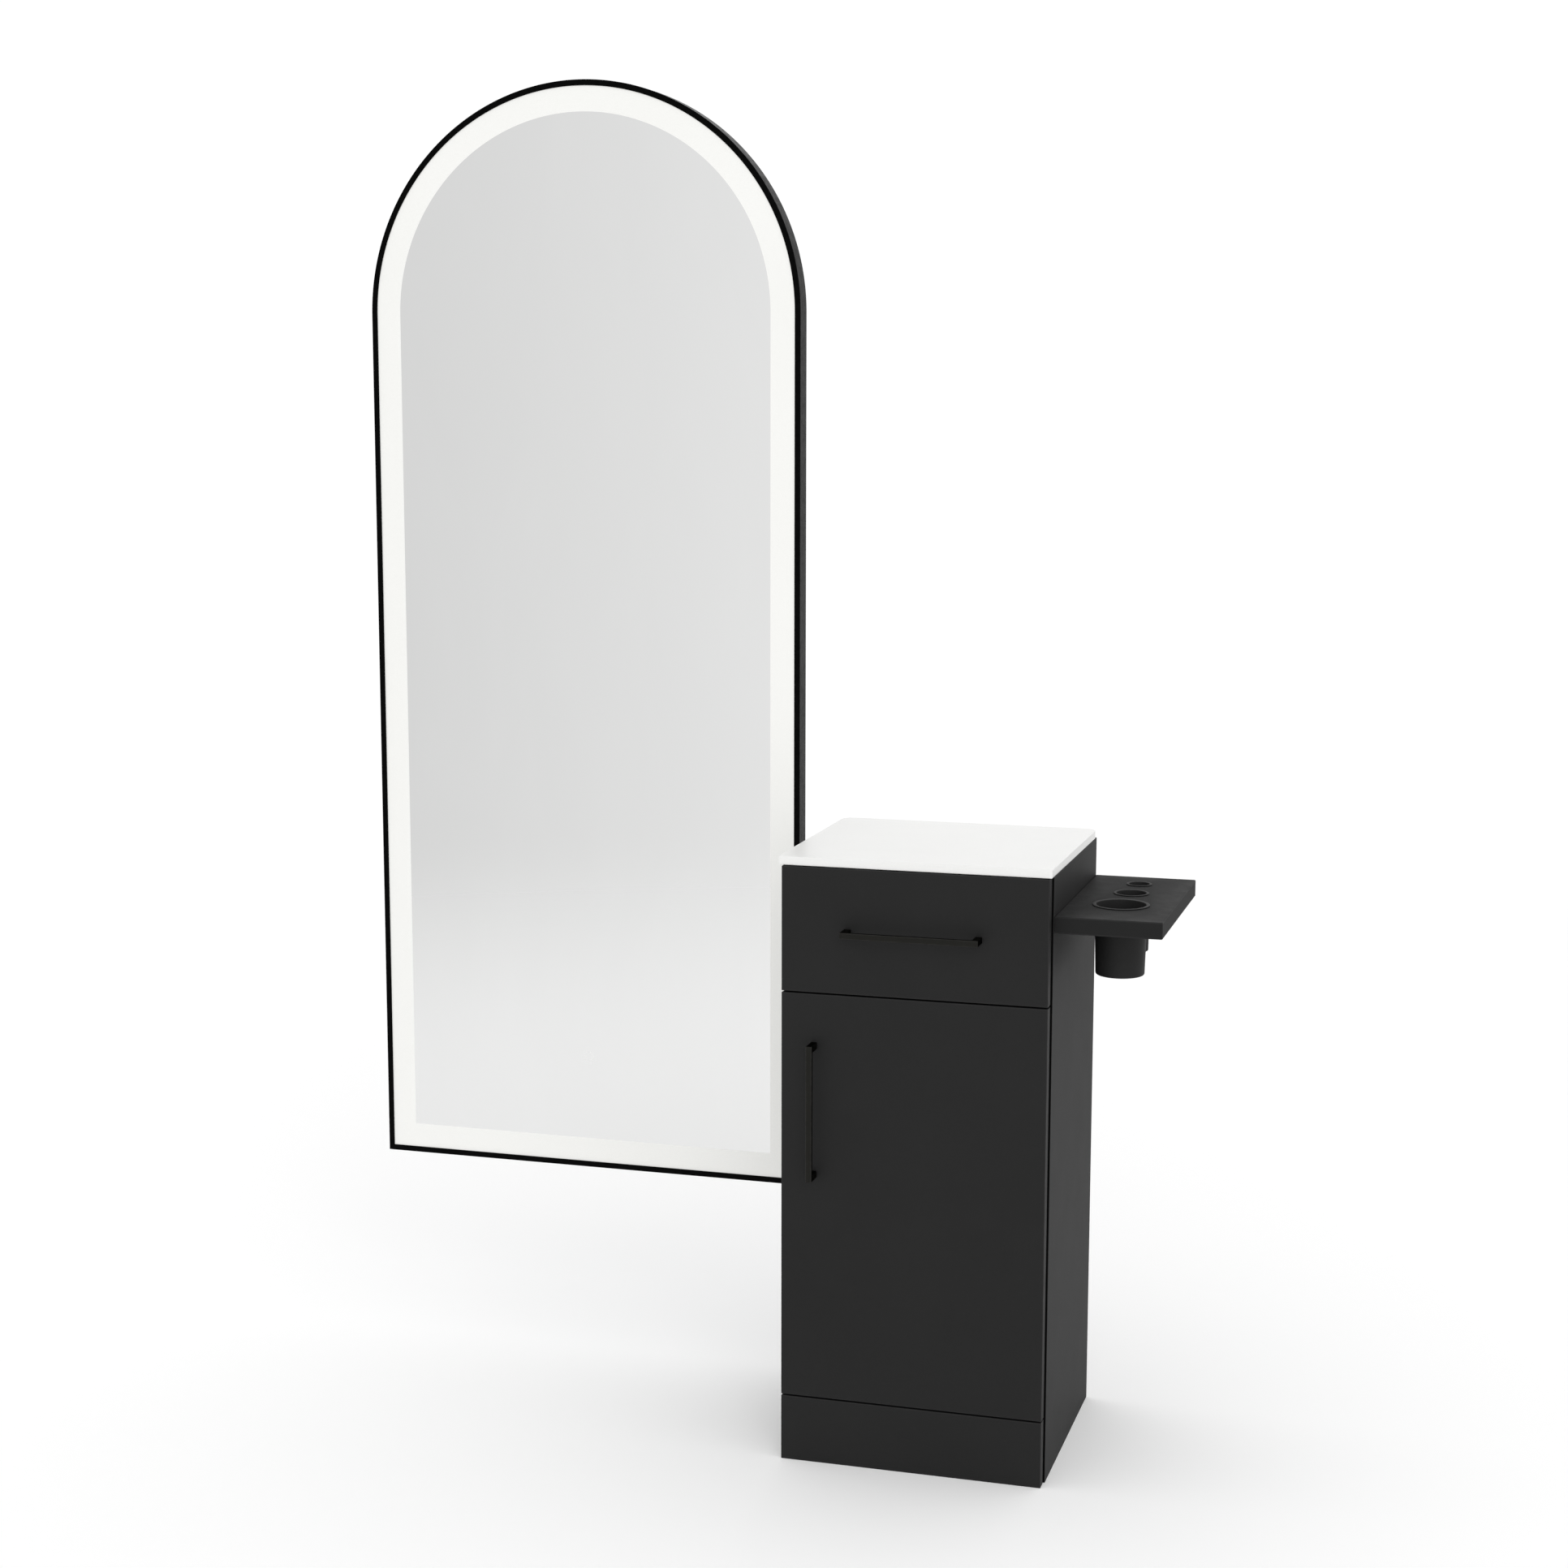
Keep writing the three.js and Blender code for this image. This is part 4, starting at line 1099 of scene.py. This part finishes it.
# telescopic slides
SL_Y0, SL_LEN, SL_Z, T = -355.0, 300.0, 812.0, 1.2
for side in ("left", "right"):
    x_face = 15.5 if side == "left" else 385.5
    sgn = 1 if side == "left" else -1

    def at(u, v, y, x_face=x_face, sgn=sgn):
        return tuple(P(x_face + sgn * u, y, SL_Z + v))

    def channel(name, x0, x1, h, back, y0):
        # back: +1 has its web at x0, -1 at x1
        if back > 0:
            pts = [(x0, -h), (x1, -h), (x1, -h + T), (x0 + T, -h + T), (x0 + T, h - T), (x1, h - T), (x1, h), (x0, h)]
            rad = [1.3, 0.5, 0.3, 0.4, 0.4, 0.3, 0.5, 1.3]
        else:
            pts = [(x1, -h), (x1, h), (x0, h), (x0, h - T), (x1 - T, h - T), (x1 - T, -h + T), (x0, -h + T), (x0, -h)]
            rad = [1.3, 1.3, 0.5, 0.3, 0.4, 0.4, 0.3, 0.5]
        o = strip(name, pts, rad, y0, y0 + SL_LEN, lambda u, v, y: at(u, v, y), 0.2, 4)
        return o

    # holes through the web of each member
    def web_cut(o, u0, u1, spots):
        o.modifiers.clear()
        lo_u, hi_u = sorted((at(u0, 0, 0)[0], at(u1, 0, 0)[0]))
        drill(o, [cylinder_cutter("x", r / 1000, lo_u, hi_u, at(0, dz, y), 20) for y, dz, r in spots])
        return weighted(o)

    case_holes = [(y, 0, 2.2) for y in (-318, -254, -190, -126, -92)] + [(-286, 7, 3.0), (-150, -7, 3.0)]
    o = web_cut(channel(f"slide_case_rail_{side}", 0.3, 10.5, 22.8, 1, SL_Y0), -0.2, 2.4, case_holes)
    place(o, BODY_OF[f"slide_case_member_{side}"], M["zinc"], [f"slide_case_member_{side}"])
    mid_holes = [(y, 0, 3.2) for y in (-330, -270, -210, -150, -90)]
    o = web_cut(channel(f"slide_middle_rail_{side}", 3.0, 11.3, 19.6, 1, SL_Y0), 2.4, 5.0, mid_holes)
    place(o, BODY_OF[f"slide_middle_member_{side}"], M["zinc"], [f"slide_middle_member_{side}"])
    dr_holes = [(y, 0, 2.0) for y in (-340, -300, -236, -172, -108, -70)] + [(-204, 6, 2.4)]
    o = web_cut(channel(f"slide_drawer_rail_{side}", 5.4, 12.7, 16.4, -1, SL_Y0), 11.0, 13.4, dr_holes)
    place(o, BODY_OF[f"slide_drawer_member_{side}"], M["zinc"], [f"slide_drawer_member_{side}"])
    # rows of balls between the members
    balls = []
    for dz, u, y0 in ((20.6, 7.6, -158), (-20.6, 7.6, -158), (17.4, 9.0, -340), (-17.4, 9.0, -340)):
        for k in range(9):
            balls.append(at(u, dz, y0 + k * 11.0))
    one = lathe("ball", [(0.0009 * math.sin(math.pi * k / 9), -0.0009 * math.cos(math.pi * k / 9)) if 0 < k < 9
                         else (0, -0.0009 if k == 0 else 0.0009) for k in range(10)], (0, 0, 0), 14, None, 60)
    bv = [tuple(v.co) for v in one.data.vertices]
    bf = [list(p.vertices) for p in one.data.polygons]
    old = one.data
    bpy.data.objects.remove(one)
    bpy.data.meshes.remove(old)
    verts, faces = [], []
    for c in balls:
        base = len(verts)
        verts += [(x + c[0], y + c[1], z + c[2]) for x, y, z in bv]
        faces += [[i + base for i in f] for f in bf]
    o = make(f"slide_balls_{side}", verts, faces, None, 60)
    place(o, BODY_OF[f"slide_middle_member_{side}"], M["nickel"])
    screws(f"slide_case_screws_{side}", [(at(1.5, 0, y), (sgn, 0, 0), 3.4, 1.0) for y in (-318, -254, -126)],
           "root", M["zinc"])
    screws(f"slide_drawer_screws_{side}", [(at(11.5, 0, y), (-sgn, 0, 0), 3.0, 1.3) for y in (-340, -236, -108)],
           "drawer", M["zinc"])

# concealed hinges
FB = -362.3
for which, z in (("lower", 205), ("upper", 625)):
    cup_body = BODY_OF[f"hinge_cup_{which}"]
    r, w, fl, d = 17.5, 1.2, 1.0, 11.5
    prof = [(0, -d), (r - 1.6, -d)]
    prof += [(r - 1.6 + 1.6 * math.sin(t), -d + 1.6 - 1.6 * math.cos(t)) for t in (0.5, 1.0, math.pi / 2)]
    prof += [(r, 0.3), (r + 1.3, 0.3), (r + 1.6, 0.6), (r + 1.6, 1.0), (r + 1.3, 0.3 + fl), (r - w + 0.5, 0.3 + fl),
             (r - w, 0.3 + fl - 0.5), (r - w, -d + w + 1.0)]
    prof += [(r - w - 1.0 + 1.0 * math.cos(t), -d + w + 1.0 - 1.0 * math.sin(t)) for t in (0.5, 1.0, math.pi / 2)]
    prof += [(0, -d + w)]
    c = P(378.5, FB, z)
    # the bowl's axis runs along +Y, with its mouth towards the cupboard
    bowl = lathe(f"hinge_bowl_{which}", [(a * mm, b * mm) for a, b in prof], c, 64, None, 40, "y")
    bits = [bowl]
    for s_ in (1, -1):
        wing = [(-13, s_ * 14.5), (9, s_ * 14.5), (9, s_ * 30), (-13, s_ * 30)]
        outline, _ = chamfered(wing, [0.5, 0.5, 5, 5], 5)
        bits.append(prism(f"wing{s_}", outline, 0.3, 1.3, 0.25,
                          lambda a, b, h, c=c: tuple(c + Vector((a * mm, h * mm, b * mm))), None, 2, 35))
    o = merge_made(f"hinge_cup_pressed_{which}", bits, cup_body, M["nickel"], [f"hinge_cup_{which}"])
    screws(f"hinge_cup_screws_{which}", [(c + Vector((-2 * mm, 1.3 * mm, s_ * 22.5 * mm)), (0, 1, 0), 3.7, 1.1)
                                         for s_ in (1, -1)], cup_body, M["nickel"])
    # arm: two cheeks under a bent cover, open towards the side panel
    piv = P(382, -361, z)
    arm = lambda a, b, h, piv=piv: tuple(piv + Vector((a * mm, b * mm, h * mm)))
    cheek = [(1.4, 3.4), (1.4, 58), (-11, 58), (-11, 8)]
    nose = [(2.4 * math.cos(math.pi + math.pi * i / 12), 2.4 * math.sin(math.pi + math.pi * i / 12)) for i in range(13)]
    outline, _ = chamfered(cheek + nose, [0, 1.5, 2.0, 2.5] + [0] * 13, 4)
    bits = [prism("cheek_a", outline, -9.0, -7.4, 0.3, arm, None, 2, 35),
            prism("cheek_b", outline, 7.4, 9.0, 0.3, arm, None, 2, 35)]
    cover, _ = chamfered(rect(12, 58, -9, 9), 2.2, 4)
    bits.append(prism("cover", cover, -11.0, -9.5, 0.35,
                      lambda a, b, h, piv=piv: tuple(piv + Vector((h * mm, a * mm, b * mm))), None, 2, 35))
    bits.append(lathe("pin", [(0, -9.4 * mm), (1.1 * mm, -9.4 * mm), (1.3 * mm, -9.1 * mm), (1.3 * mm, 9.1 * mm),
                              (1.1 * mm, 9.4 * mm), (0, 9.4 * mm)], piv, 24, None, 40))
    merge_made(f"hinge_arm_pressed_{which}", bits, BODY_OF[f"hinge_arm_{which}"], M["nickel"],
               [f"hinge_arm_{which}"])
    screws(f"hinge_arm_screws_{which}", [(piv + Vector((-11 * mm, yy * mm, 0)), (-1, 0, 0), 3.2, 1.2) for yy in (27, 47)],
           BODY_OF[f"hinge_arm_{which}"], M["nickel"])
    # mounting plate
    c = P(385.2, -358.5 + 24, z)
    cross = [(-2, -22), (2, -24), (10, -24), (14, -20), (14, -9.5), (30, -9.5), (30, 9.5), (14, 9.5), (14, 20), (10, 24),
             (2, 24), (-2, 22)]
    outline, _ = chamfered(cross, [1, 1.5, 1.5, 1.5, 1.5, 2, 2, 1.5, 1.5, 1.5, 1.5, 1], 3)
    o = prism(f"hinge_plate_pressed_{which}", outline, 0.0, 1.6, 0.35,
              lambda a, b, h, c=c: tuple(c + Vector((-h * mm, a * mm, b * mm))), None, 2, 35)
    place(o, BODY_OF[f"hinge_plate_{which}"], M["nickel"], [f"hinge_plate_{which}"])
    screws(f"hinge_plate_screws_{which}", [(c + Vector((-1.6 * mm, 6 * mm, s_ * 17 * mm)), (-1, 0, 0), 3.6, 1.3)
                                           for s_ in (1, -1)], BODY_OF[f"hinge_plate_{which}"], M["nickel"])
    # link: curved plate with a boss round the pin
    mid = np.array([[0, 0], [-6, 1.1], [-11, 0], [-14.8, -3.6], [-17, -7.6]], float)
    fine = []
    for i in range(len(mid) - 1):
        p0, p1, p2, p3 = mid[max(i - 1, 0)], mid[i], mid[i + 1], mid[min(i + 2, len(mid) - 1)]
        for k in range(5):
            t = k / 5
            fine.append(0.5 * (2 * p1 + (p2 - p0) * t + (2 * p0 - 5 * p1 + 4 * p2 - p3) * t * t
                               + (3 * p1 - p0 - 3 * p2 + p3) * t ** 3))
    fine.append(mid[-1])
    fine = np.array(fine)
    tang = np.gradient(fine, axis=0)
    tang /= np.linalg.norm(tang, axis=1)[:, None]
    nrm = np.stack([-tang[:, 1], tang[:, 0]], 1)
    outline = [tuple(q) for q in fine + nrm * 0.9] + [tuple(q) for q in (fine - nrm * 0.9)[::-1]]
    plate = prism("link_plate", outline, -5.5, 5.5, 0.25, arm, None, 2, 35)
    plate.modifiers.clear()
    drill(plate, [cylinder_cutter("z", 0.002, piv.z - 0.01, piv.z + 0.01, tuple(piv), 32)])
    bits = [plate,
            lathe("boss", [(1.65 * mm, -7 * mm), (2.2 * mm, -7 * mm), (2.4 * mm, -6.8 * mm), (2.4 * mm, 6.8 * mm),
                           (2.2 * mm, 7 * mm), (1.65 * mm, 7 * mm)], piv, 32, None, 40)]
    merge_made(f"hinge_link_pressed_{which}", bits, BODY_OF[f"hinge_link_{which}"], M["nickel"],
               [f"hinge_link_{which}"])

# pull screws: pan head, cross recess, shank up to the leg of the pull
def pull_screw(node, start, length, body):
    prof = [(0, -length), (1.7, -length), (2.0, -length + 0.6), (2.0, 0.0), (2.2, 0.3), (3.8, 0.3), (4.0, 0.6), (4.0, 1.2)]
    for i in range(1, 7):
        t = math.pi / 2 * i / 6
        prof.append((2.0 + 2.0 * math.cos(t), 1.2 + 1.4 * math.sin(t)))
    prof.append((0, 2.65))
    o = lathe(node + "_turned", [(a * mm, b * mm) for a, b in prof], start, 36, None, 40, "y")
    c = Vector(start) + Vector((0, 2.0 * mm, 0))
    drill(o, [boxed(tuple(c + Vector((-2.1 * mm, -0.3 * mm, -0.5 * mm))), tuple(c + Vector((2.1 * mm, 2 * mm, 0.5 * mm))))])
    drill(o, [boxed(tuple(c + Vector((-0.5 * mm, -0.301 * mm, -2.1 * mm))), tuple(c + Vector((0.5 * mm, 2 * mm, 2.1 * mm))))])
    place(weighted(o), body, M["zinc"], [node])


for s_, side in ((-1, "left"), (1, "right")):
    pull_screw(f"drawer_pull_screw_{side}", P(PULL_X + s_ * SCREW_DX, -362.0 + 15, PULL_Z), 42, "drawer")
for s_, which in ((-1, "lower"), (1, "upper")):
    pull_screw(f"door_pull_screw_{which}", P(DOOR_X, FB, DOOR_Z + s_ * SCREW_DX), 26, "door")

# bolts that hold the tool shelf, with a washer head and a hexagon socket
for y, which in ((-300, "front"), (-50, "back")):
    prof = [(0, 53), (2.2, 53), (2.6, 52.4), (2.6, -0.3), (6.7, -0.3), (7.0, -0.6), (7.0, -1.0), (6.6, -1.7), (5.2, -2.3),
            (4.4, -2.45), (0, -2.5)]
    o = lathe(f"tool_shelf_bolt_turned_{which}", [(a * mm, b * mm) for a, b in prof], P(385.5, y, 846.4), 40, None, 35, "x")
    c = P(385.5, y, 846.4)
    drill(o, [cylinder_cutter("x", 0.0023, c.x - 0.004, c.x - 0.0006, tuple(c), 6)])
    place(weighted(o), "root", M["zinc"], [f"tool_shelf_bolt_{which}"])

# shelf pins
for where, y in (("front", -300), ("back", -60)):
    for side, x, sgn in (("left", 15.5, 1), ("right", 385.5, -1)):
        c = P(x, y, 417.5)
        peg = lathe("peg", [(0, -8.5 * mm), (2.1 * mm, -8.5 * mm), (2.5 * mm, -8.1 * mm), (2.5 * mm, 8.1 * mm),
                            (2.1 * mm, 8.5 * mm), (0, 8.5 * mm)], c, 28, None, 40, "x")
        x0, x1 = sorted((c.x + sgn * 0.3 * mm, c.x + sgn * 1.8 * mm))
        v, f, e = rounded_box((x0, c.y - 0.004, c.z - 0.009), (x1, c.y + 0.004, c.z + 0.0025), 0.0004)
        merge_made(f"shelf_peg_{where}_{side}", [peg, make("tongue", v, f, e)], "root", M["zinc"],
                   [f"shelf_pin_{where}_{side}"])

# plinth brackets: bent angle with a rounded heel
for side, x, sgn in (("left", 15.8, 1), ("right", 385.2, -1)):
    L = [(0, 0), (0, -43.7), (26, -43.7), (26, -42.1), (1.6, -42.1), (1.6, 0)]
    outline, _ = chamfered(L, [0.5, 2.0, 0.5, 0.5, 0.8, 0.5], 4)
    c = P(x, FB + 44, 52)
    o = prism(f"plinth_angle_{side}", outline, -15, 15, 0.35,
              lambda a, b, h, c=c, sgn=sgn: tuple(c + Vector((sgn * a * mm, b * mm, h * mm))), None, 3, 35)
    place(o, "root", M["zinc"], [f"plinth_bracket_{side}"])
    screws(f"plinth_angle_screws_{side}", [(c + Vector((sgn * 1.6 * mm, yy * mm, zz * mm)), (sgn, 0, 0), 3.3, 1.4)
                                           for yy, zz in ((-14, 7), (-30, -7))]
           + [(c + Vector((sgn * 16 * mm, -42.1 * mm, zz * mm)), (0, 1, 0), 3.3, 1.4) for zz in (-7, 7)],
           "root", M["zinc"])

# soft stops behind the fronts
def stops(name, spots, body):
    bits = []
    for k, c in enumerate(spots):
        bits.append(lathe(f"stop{k}", [(0, -0.1 * mm), (4.0 * mm, -0.1 * mm), (4.0 * mm, 0.5 * mm), (3.4 * mm, 1.3 * mm),
                                       (2.2 * mm, 1.7 * mm), (0, 1.8 * mm)], c, 32, None, 50, "y"))
    merge_made(name, bits, body, M["clear"])


stops("door_soft_stops", [P(7.5, FB, 125), P(7.5, FB, 705)], "door")
stops("drawer_soft_stops", [P(6.5, FB, 748), P(394.5, FB, 748)], "drawer")

# ---------------------------------------------------------------------------
# mirror back
# ---------------------------------------------------------------------------

PLATE_BACK = -5.0


def back_plate():
    """Rolled plate with a hole for the cable and two groups of cooling slots."""
    outline = [(x, z) for x, z in arch_path(2.1, 96)]
    keep = [outline[0]]
    for q in outline[1:]:
        if math.hypot(q[0] - keep[-1][0], q[1] - keep[-1][1]) > 0.05:
            keep.append(q)
    o = prism("mirror_back_sheet", keep, PLATE_BACK - 2.0, PLATE_BACK, 0.3,
              lambda a, b, h: tuple(P(a, h, b)), None, 2, 35)
    o.modifiers.clear()
    y0, y1 = P(0, PLATE_BACK - 4, 0).y, P(0, PLATE_BACK + 2, 0).y
    cuts = [cylinder_cutter("y", 0.0064, y0, y1, tuple(P(MCX - 120, 0, 480)), 40)]
    for cx, cz, count in ((MCX, 700, 9), (MCX, 1890, 9)):
        for k in range(count):
            x = cx + (k - (count - 1) / 2) * 16
            half, rad = 17, 2.2
            pts = [(x + rad * math.cos(math.pi * i / 8), cz + half + rad * math.sin(math.pi * i / 8)) for i in range(9)]
            pts += [(x - rad * math.cos(math.pi * i / 8), cz - half - rad * math.sin(math.pi * i / 8)) for i in range(9)]
            pts.reverse()
            n = len(pts)
            v = [tuple(P(a, PLATE_BACK - 4, b)) for a, b in pts] + [tuple(P(a, PLATE_BACK + 2, b)) for a, b in pts]
            f = [[i, (i + 1) % n, n + (i + 1) % n, n + i] for i in range(n)]
            f += [list(reversed(range(n))), list(range(n, 2 * n))]
            cuts.append((v, f))
    drill(o, cuts)
    place(weighted(o), "root", M["alu"], ["mirror_back_plate"])
    spots = []
    path = arch_path(8.0, 96)
    length, last = 0.0, None
    total = sum(math.hypot(path[i + 1][0] - path[i][0], path[i + 1][1] - path[i][1]) for i in range(len(path) - 1))
    step = total / 18
    due = step / 2
    for i in range(len(path) - 1):
        (x0, z0), (x1, z1) = path[i], path[i + 1]
        seg = math.hypot(x1 - x0, z1 - z0)
        while seg > 0 and length + seg >= due:
            t = (due - length) / seg
            spots.append((P(x0 + (x1 - x0) * t, PLATE_BACK, z0 + (z1 - z0) * t), (0, 1, 0), 3.2, 1.5))
            due += step
        length += seg
    for k in range(5):
        spots.append((P(MX0 + 60 + k * (MX1 - MX0 - 120) / 4, PLATE_BACK, MZ0 + 8.0), (0, 1, 0), 3.2, 1.5))
    screws("mirror_back_screws", spots, "root", M["zinc"])


back_plate()

# hanging rails: Z sections with bent corners
sec = [(-4.7, 1765), (-4.7, 1740), (-1.7, 1740), (-1.7, 1728), (-0.5, 1728), (-0.5, 1741.2), (-3.5, 1741.2), (-3.5, 1765)]
o = strip("mirror_hanging_rail", sec, [0.3, 0.9, 0.5, 0.4, 0.4, 0.9, 0.5, 0.3], -150, 150,
          lambda a, b, h: tuple(P(MCX + h, a, b)), 0.2, 3)
place(o, "root", M["alu_bright"], ["mirror_hanger"])
screws("mirror_hanger_rivets", [(P(MCX + x, -3.5, 1754), (0, 1, 0), 2.6, 1.0) for x in (-126, -63, 0, 63, 126)],
       "root", M["alu_bright"], "rivet")
sec = [(0, 1698), (0, 1726.2), (-2, 1726.2), (-2, 1739.7), (-3.2, 1739.7), (-3.2, 1725), (-1.2, 1725), (-1.2, 1698)]
o = strip("wall_cleat_rail", sec, [0.3, 0.5, 0.4, 0.4, 0.4, 0.9, 0.5, 0.3], -140, 140,
          lambda a, b, h: tuple(P(MCX + h, a, b)), 0.2, 3)
o.modifiers.clear()
drill(o, [cylinder_cutter("y", 0.0026, P(0, -4, 0).y, P(0, 1, 0).y, tuple(P(MCX + x, 0, 1711)), 24)
          for x in (-120, -72, -24, 24, 72, 120)])
place(weighted(o), "root", M["alu_bright"], ["wall_cleat"])

# inside the mirror: light strip, its driver, the touch sensor, the cable gland
dress("led_strip", M["led"], 0.0002)
lo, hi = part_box("led_driver")
v, f, e = rounded_box(lo, hi, 0.0022, 0.001)
place(weighted(make("led_driver_case", v, f, e)), "root", M["white"], ["led_driver"])
lo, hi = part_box("touch_switch")
c = (lo + hi) / 2
o = lathe("touch_sensor_puck", [(0, -2 * mm), (11.2 * mm, -2 * mm), (12 * mm, -1.2 * mm), (12 * mm, 1.2 * mm),
                                (11.2 * mm, 2 * mm), (0, 2 * mm)], c, 48, None, 40, "y")
place(o, "root", M["dark"], ["touch_switch"])
c = P(MCX - 120, -36.9 + 29.9 - 0.3, 480)
prof = [(3.5, -0.9), (8.1, -0.9), (8.5, -0.6), (8.5, -0.3), (8.2, 0.0), (6.0, 0.1), (6.0, 2.6), (8.2, 2.6), (8.5, 2.9),
        (8.5, 3.3), (7.4, 3.9), (4.4, 4.0), (3.5, 3.5)]
o = lathe("cable_gland_ring", [(a * mm, b * mm) for a, b in prof], c, 48, None, 40, "y")
place(o, "root", M["dark"], ["cable_grommet"])

# ---------------------------------------------------------------------------
# floor, light, camera
# ---------------------------------------------------------------------------

def floor():
    """Pale floor disc that thins out into the white surround."""
    rings, seg = [0.0, 1.2, 2.2, 3.2, 4.5, 5.6], 96
    verts, faces = [(0.0, 0.0, 0.0)], []
    for r in rings[1:]:
        for i in range(seg):
            a = 2 * math.pi * i / seg
            verts.append((r * math.cos(a), r * math.sin(a), 0.0))
    for i in range(seg):
        faces.append([0, 1 + i, 1 + (i + 1) % seg])
    for k in range(len(rings) - 2):
        for i in range(seg):
            j = (i + 1) % seg
            a, b = 1 + k * seg, 1 + (k + 1) * seg
            faces.append([a + i, b + i, b + j, a + j])
    o = make("studio_floor", verts, faces)
    m = Nodes("studio_floor_pale")
    m.set(Roughness=0.9, Specular_IOR_Level=0.0)
    m.bsdf.inputs["Base Color"].default_value = (0.94, 0.94, 0.94, 1)
    m.bsdf.inputs["Emission Color"].default_value = (1, 1, 1, 1)
    m.set(Emission_Strength=0.075)
    grad = m.new("ShaderNodeVectorMath", operation="LENGTH")
    m.link(m.coord, grad.inputs[0])
    fade = m.remap(grad.outputs["Value"], 1.6, 5.5, 0.0, 1.0, True)
    clear = m.new("ShaderNodeBsdfTransparent")
    mixer = m.new("ShaderNodeMixShader")
    m.link(fade, mixer.inputs[0])
    m.link(m.bsdf.outputs[0], mixer.inputs[1])
    m.link(clear.outputs[0], mixer.inputs[2])
    m.link(mixer.outputs[0], m.out.inputs[0])
    o.data.materials.append(m.mat)
    o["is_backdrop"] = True


floor()

world = bpy.data.worlds.new("studio")
SCENE.world = world
world.use_nodes = True
wt = world.node_tree
wt.nodes.clear()
w_out = wt.nodes.new("ShaderNodeOutputWorld")
w_bg = wt.nodes.new("ShaderNodeBackground")
w_co = wt.nodes.new("ShaderNodeTexCoord")
def w_node(kind, **props):
    n = wt.nodes.new(kind)
    for k, v in props.items():
        setattr(n, k, v)
    return n


def w_remap(value, a, b, c, d, smooth=False):
    n = w_node("ShaderNodeMapRange", interpolation_type="SMOOTHSTEP" if smooth else "LINEAR")
    wt.links.new(value, n.inputs["Value"])
    for k, v in zip(("From Min", "From Max", "To Min", "To Max"), (a, b, c, d)):
        n.inputs[k].default_value = v
    return n.outputs[0]


# white surround; the half in front of the station falls off gently towards the left
w_sep = w_node("ShaderNodeSeparateXYZ")
wt.links.new(w_co.outputs["Generated"], w_sep.inputs[0])
w_side = w_remap(w_sep.outputs[0], -0.6, -0.2, 0.66, 1.03)
w_front = w_remap(w_sep.outputs[1], -0.65, -0.2, 1.0, 0.0, True)
w_mix = w_node("ShaderNodeMix")
wt.links.new(w_front, w_mix.inputs[0])
w_mix.inputs[2].default_value = 1.03
wt.links.new(w_side, w_mix.inputs[3])
w_right = w_remap(w_sep.outputs[0], 0.35, 0.95, 1.0, 0.88, True)
w_all = w_node("ShaderNodeMath", operation="MULTIPLY")
wt.links.new(w_mix.outputs[0], w_all.inputs[0])
wt.links.new(w_right, w_all.inputs[1])
w_col = w_node("ShaderNodeCombineColor")
for i in range(3):
    wt.links.new(w_all.outputs[0], w_col.inputs[i])
wt.links.new(w_col.outputs[0], w_bg.inputs["Color"])
wt.links.new(w_bg.outputs[0], w_out.inputs["Surface"])
w_bg.inputs["Strength"].default_value = 1.0


def area(name, position, target, size, power):
    d = bpy.data.lights.new(name, "AREA")
    d.shape = "RECTANGLE"
    d.size, d.size_y = size
    d.energy = power
    o = bpy.data.objects.new(name, d)
    o.location = position
    o.rotation_mode = "QUATERNION"
    o.rotation_quaternion = (Vector(target) - Vector(position)).to_track_quat("-Z", "Y")
    SCENE.collection.objects.link(o)


area("softbox_front", (2.2, -4.2, 3.4), (0.2, 0.0, 0.9), (1.6, 1.6), 22)

cam = bpy.data.cameras.new("camera")
cam.sensor_width = 36.0
cam.lens = 60.81
cam.clip_start, cam.clip_end = 0.05, 60.0
cam.dof.use_dof = False
co = bpy.data.objects.new("camera", cam)
SCENE.collection.objects.link(co)
f = Vector((-0.2787, 0.9492, -0.1459)).normalized()
right = f.cross(Vector((0, 0, 1))).normalized()
up = right.cross(f)
roll = 0.0012
r2 = right * math.cos(roll) + up * math.sin(roll)
u2 = up * math.cos(roll) - right * math.sin(roll)
co.matrix_world = Matrix((
    (r2.x, u2.x, -f.x, 1.2079),
    (r2.y, u2.y, -f.y, -3.8659),
    (r2.z, u2.z, -f.z, 1.6068),
    (0, 0, 0, 1)))
SCENE.camera = co

SCENE.view_settings.view_transform = "Standard"
SCENE.view_settings.look = "None"
SCENE.view_settings.exposure = 0.0
SCENE.view_settings.gamma = 1.0

lo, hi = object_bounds()
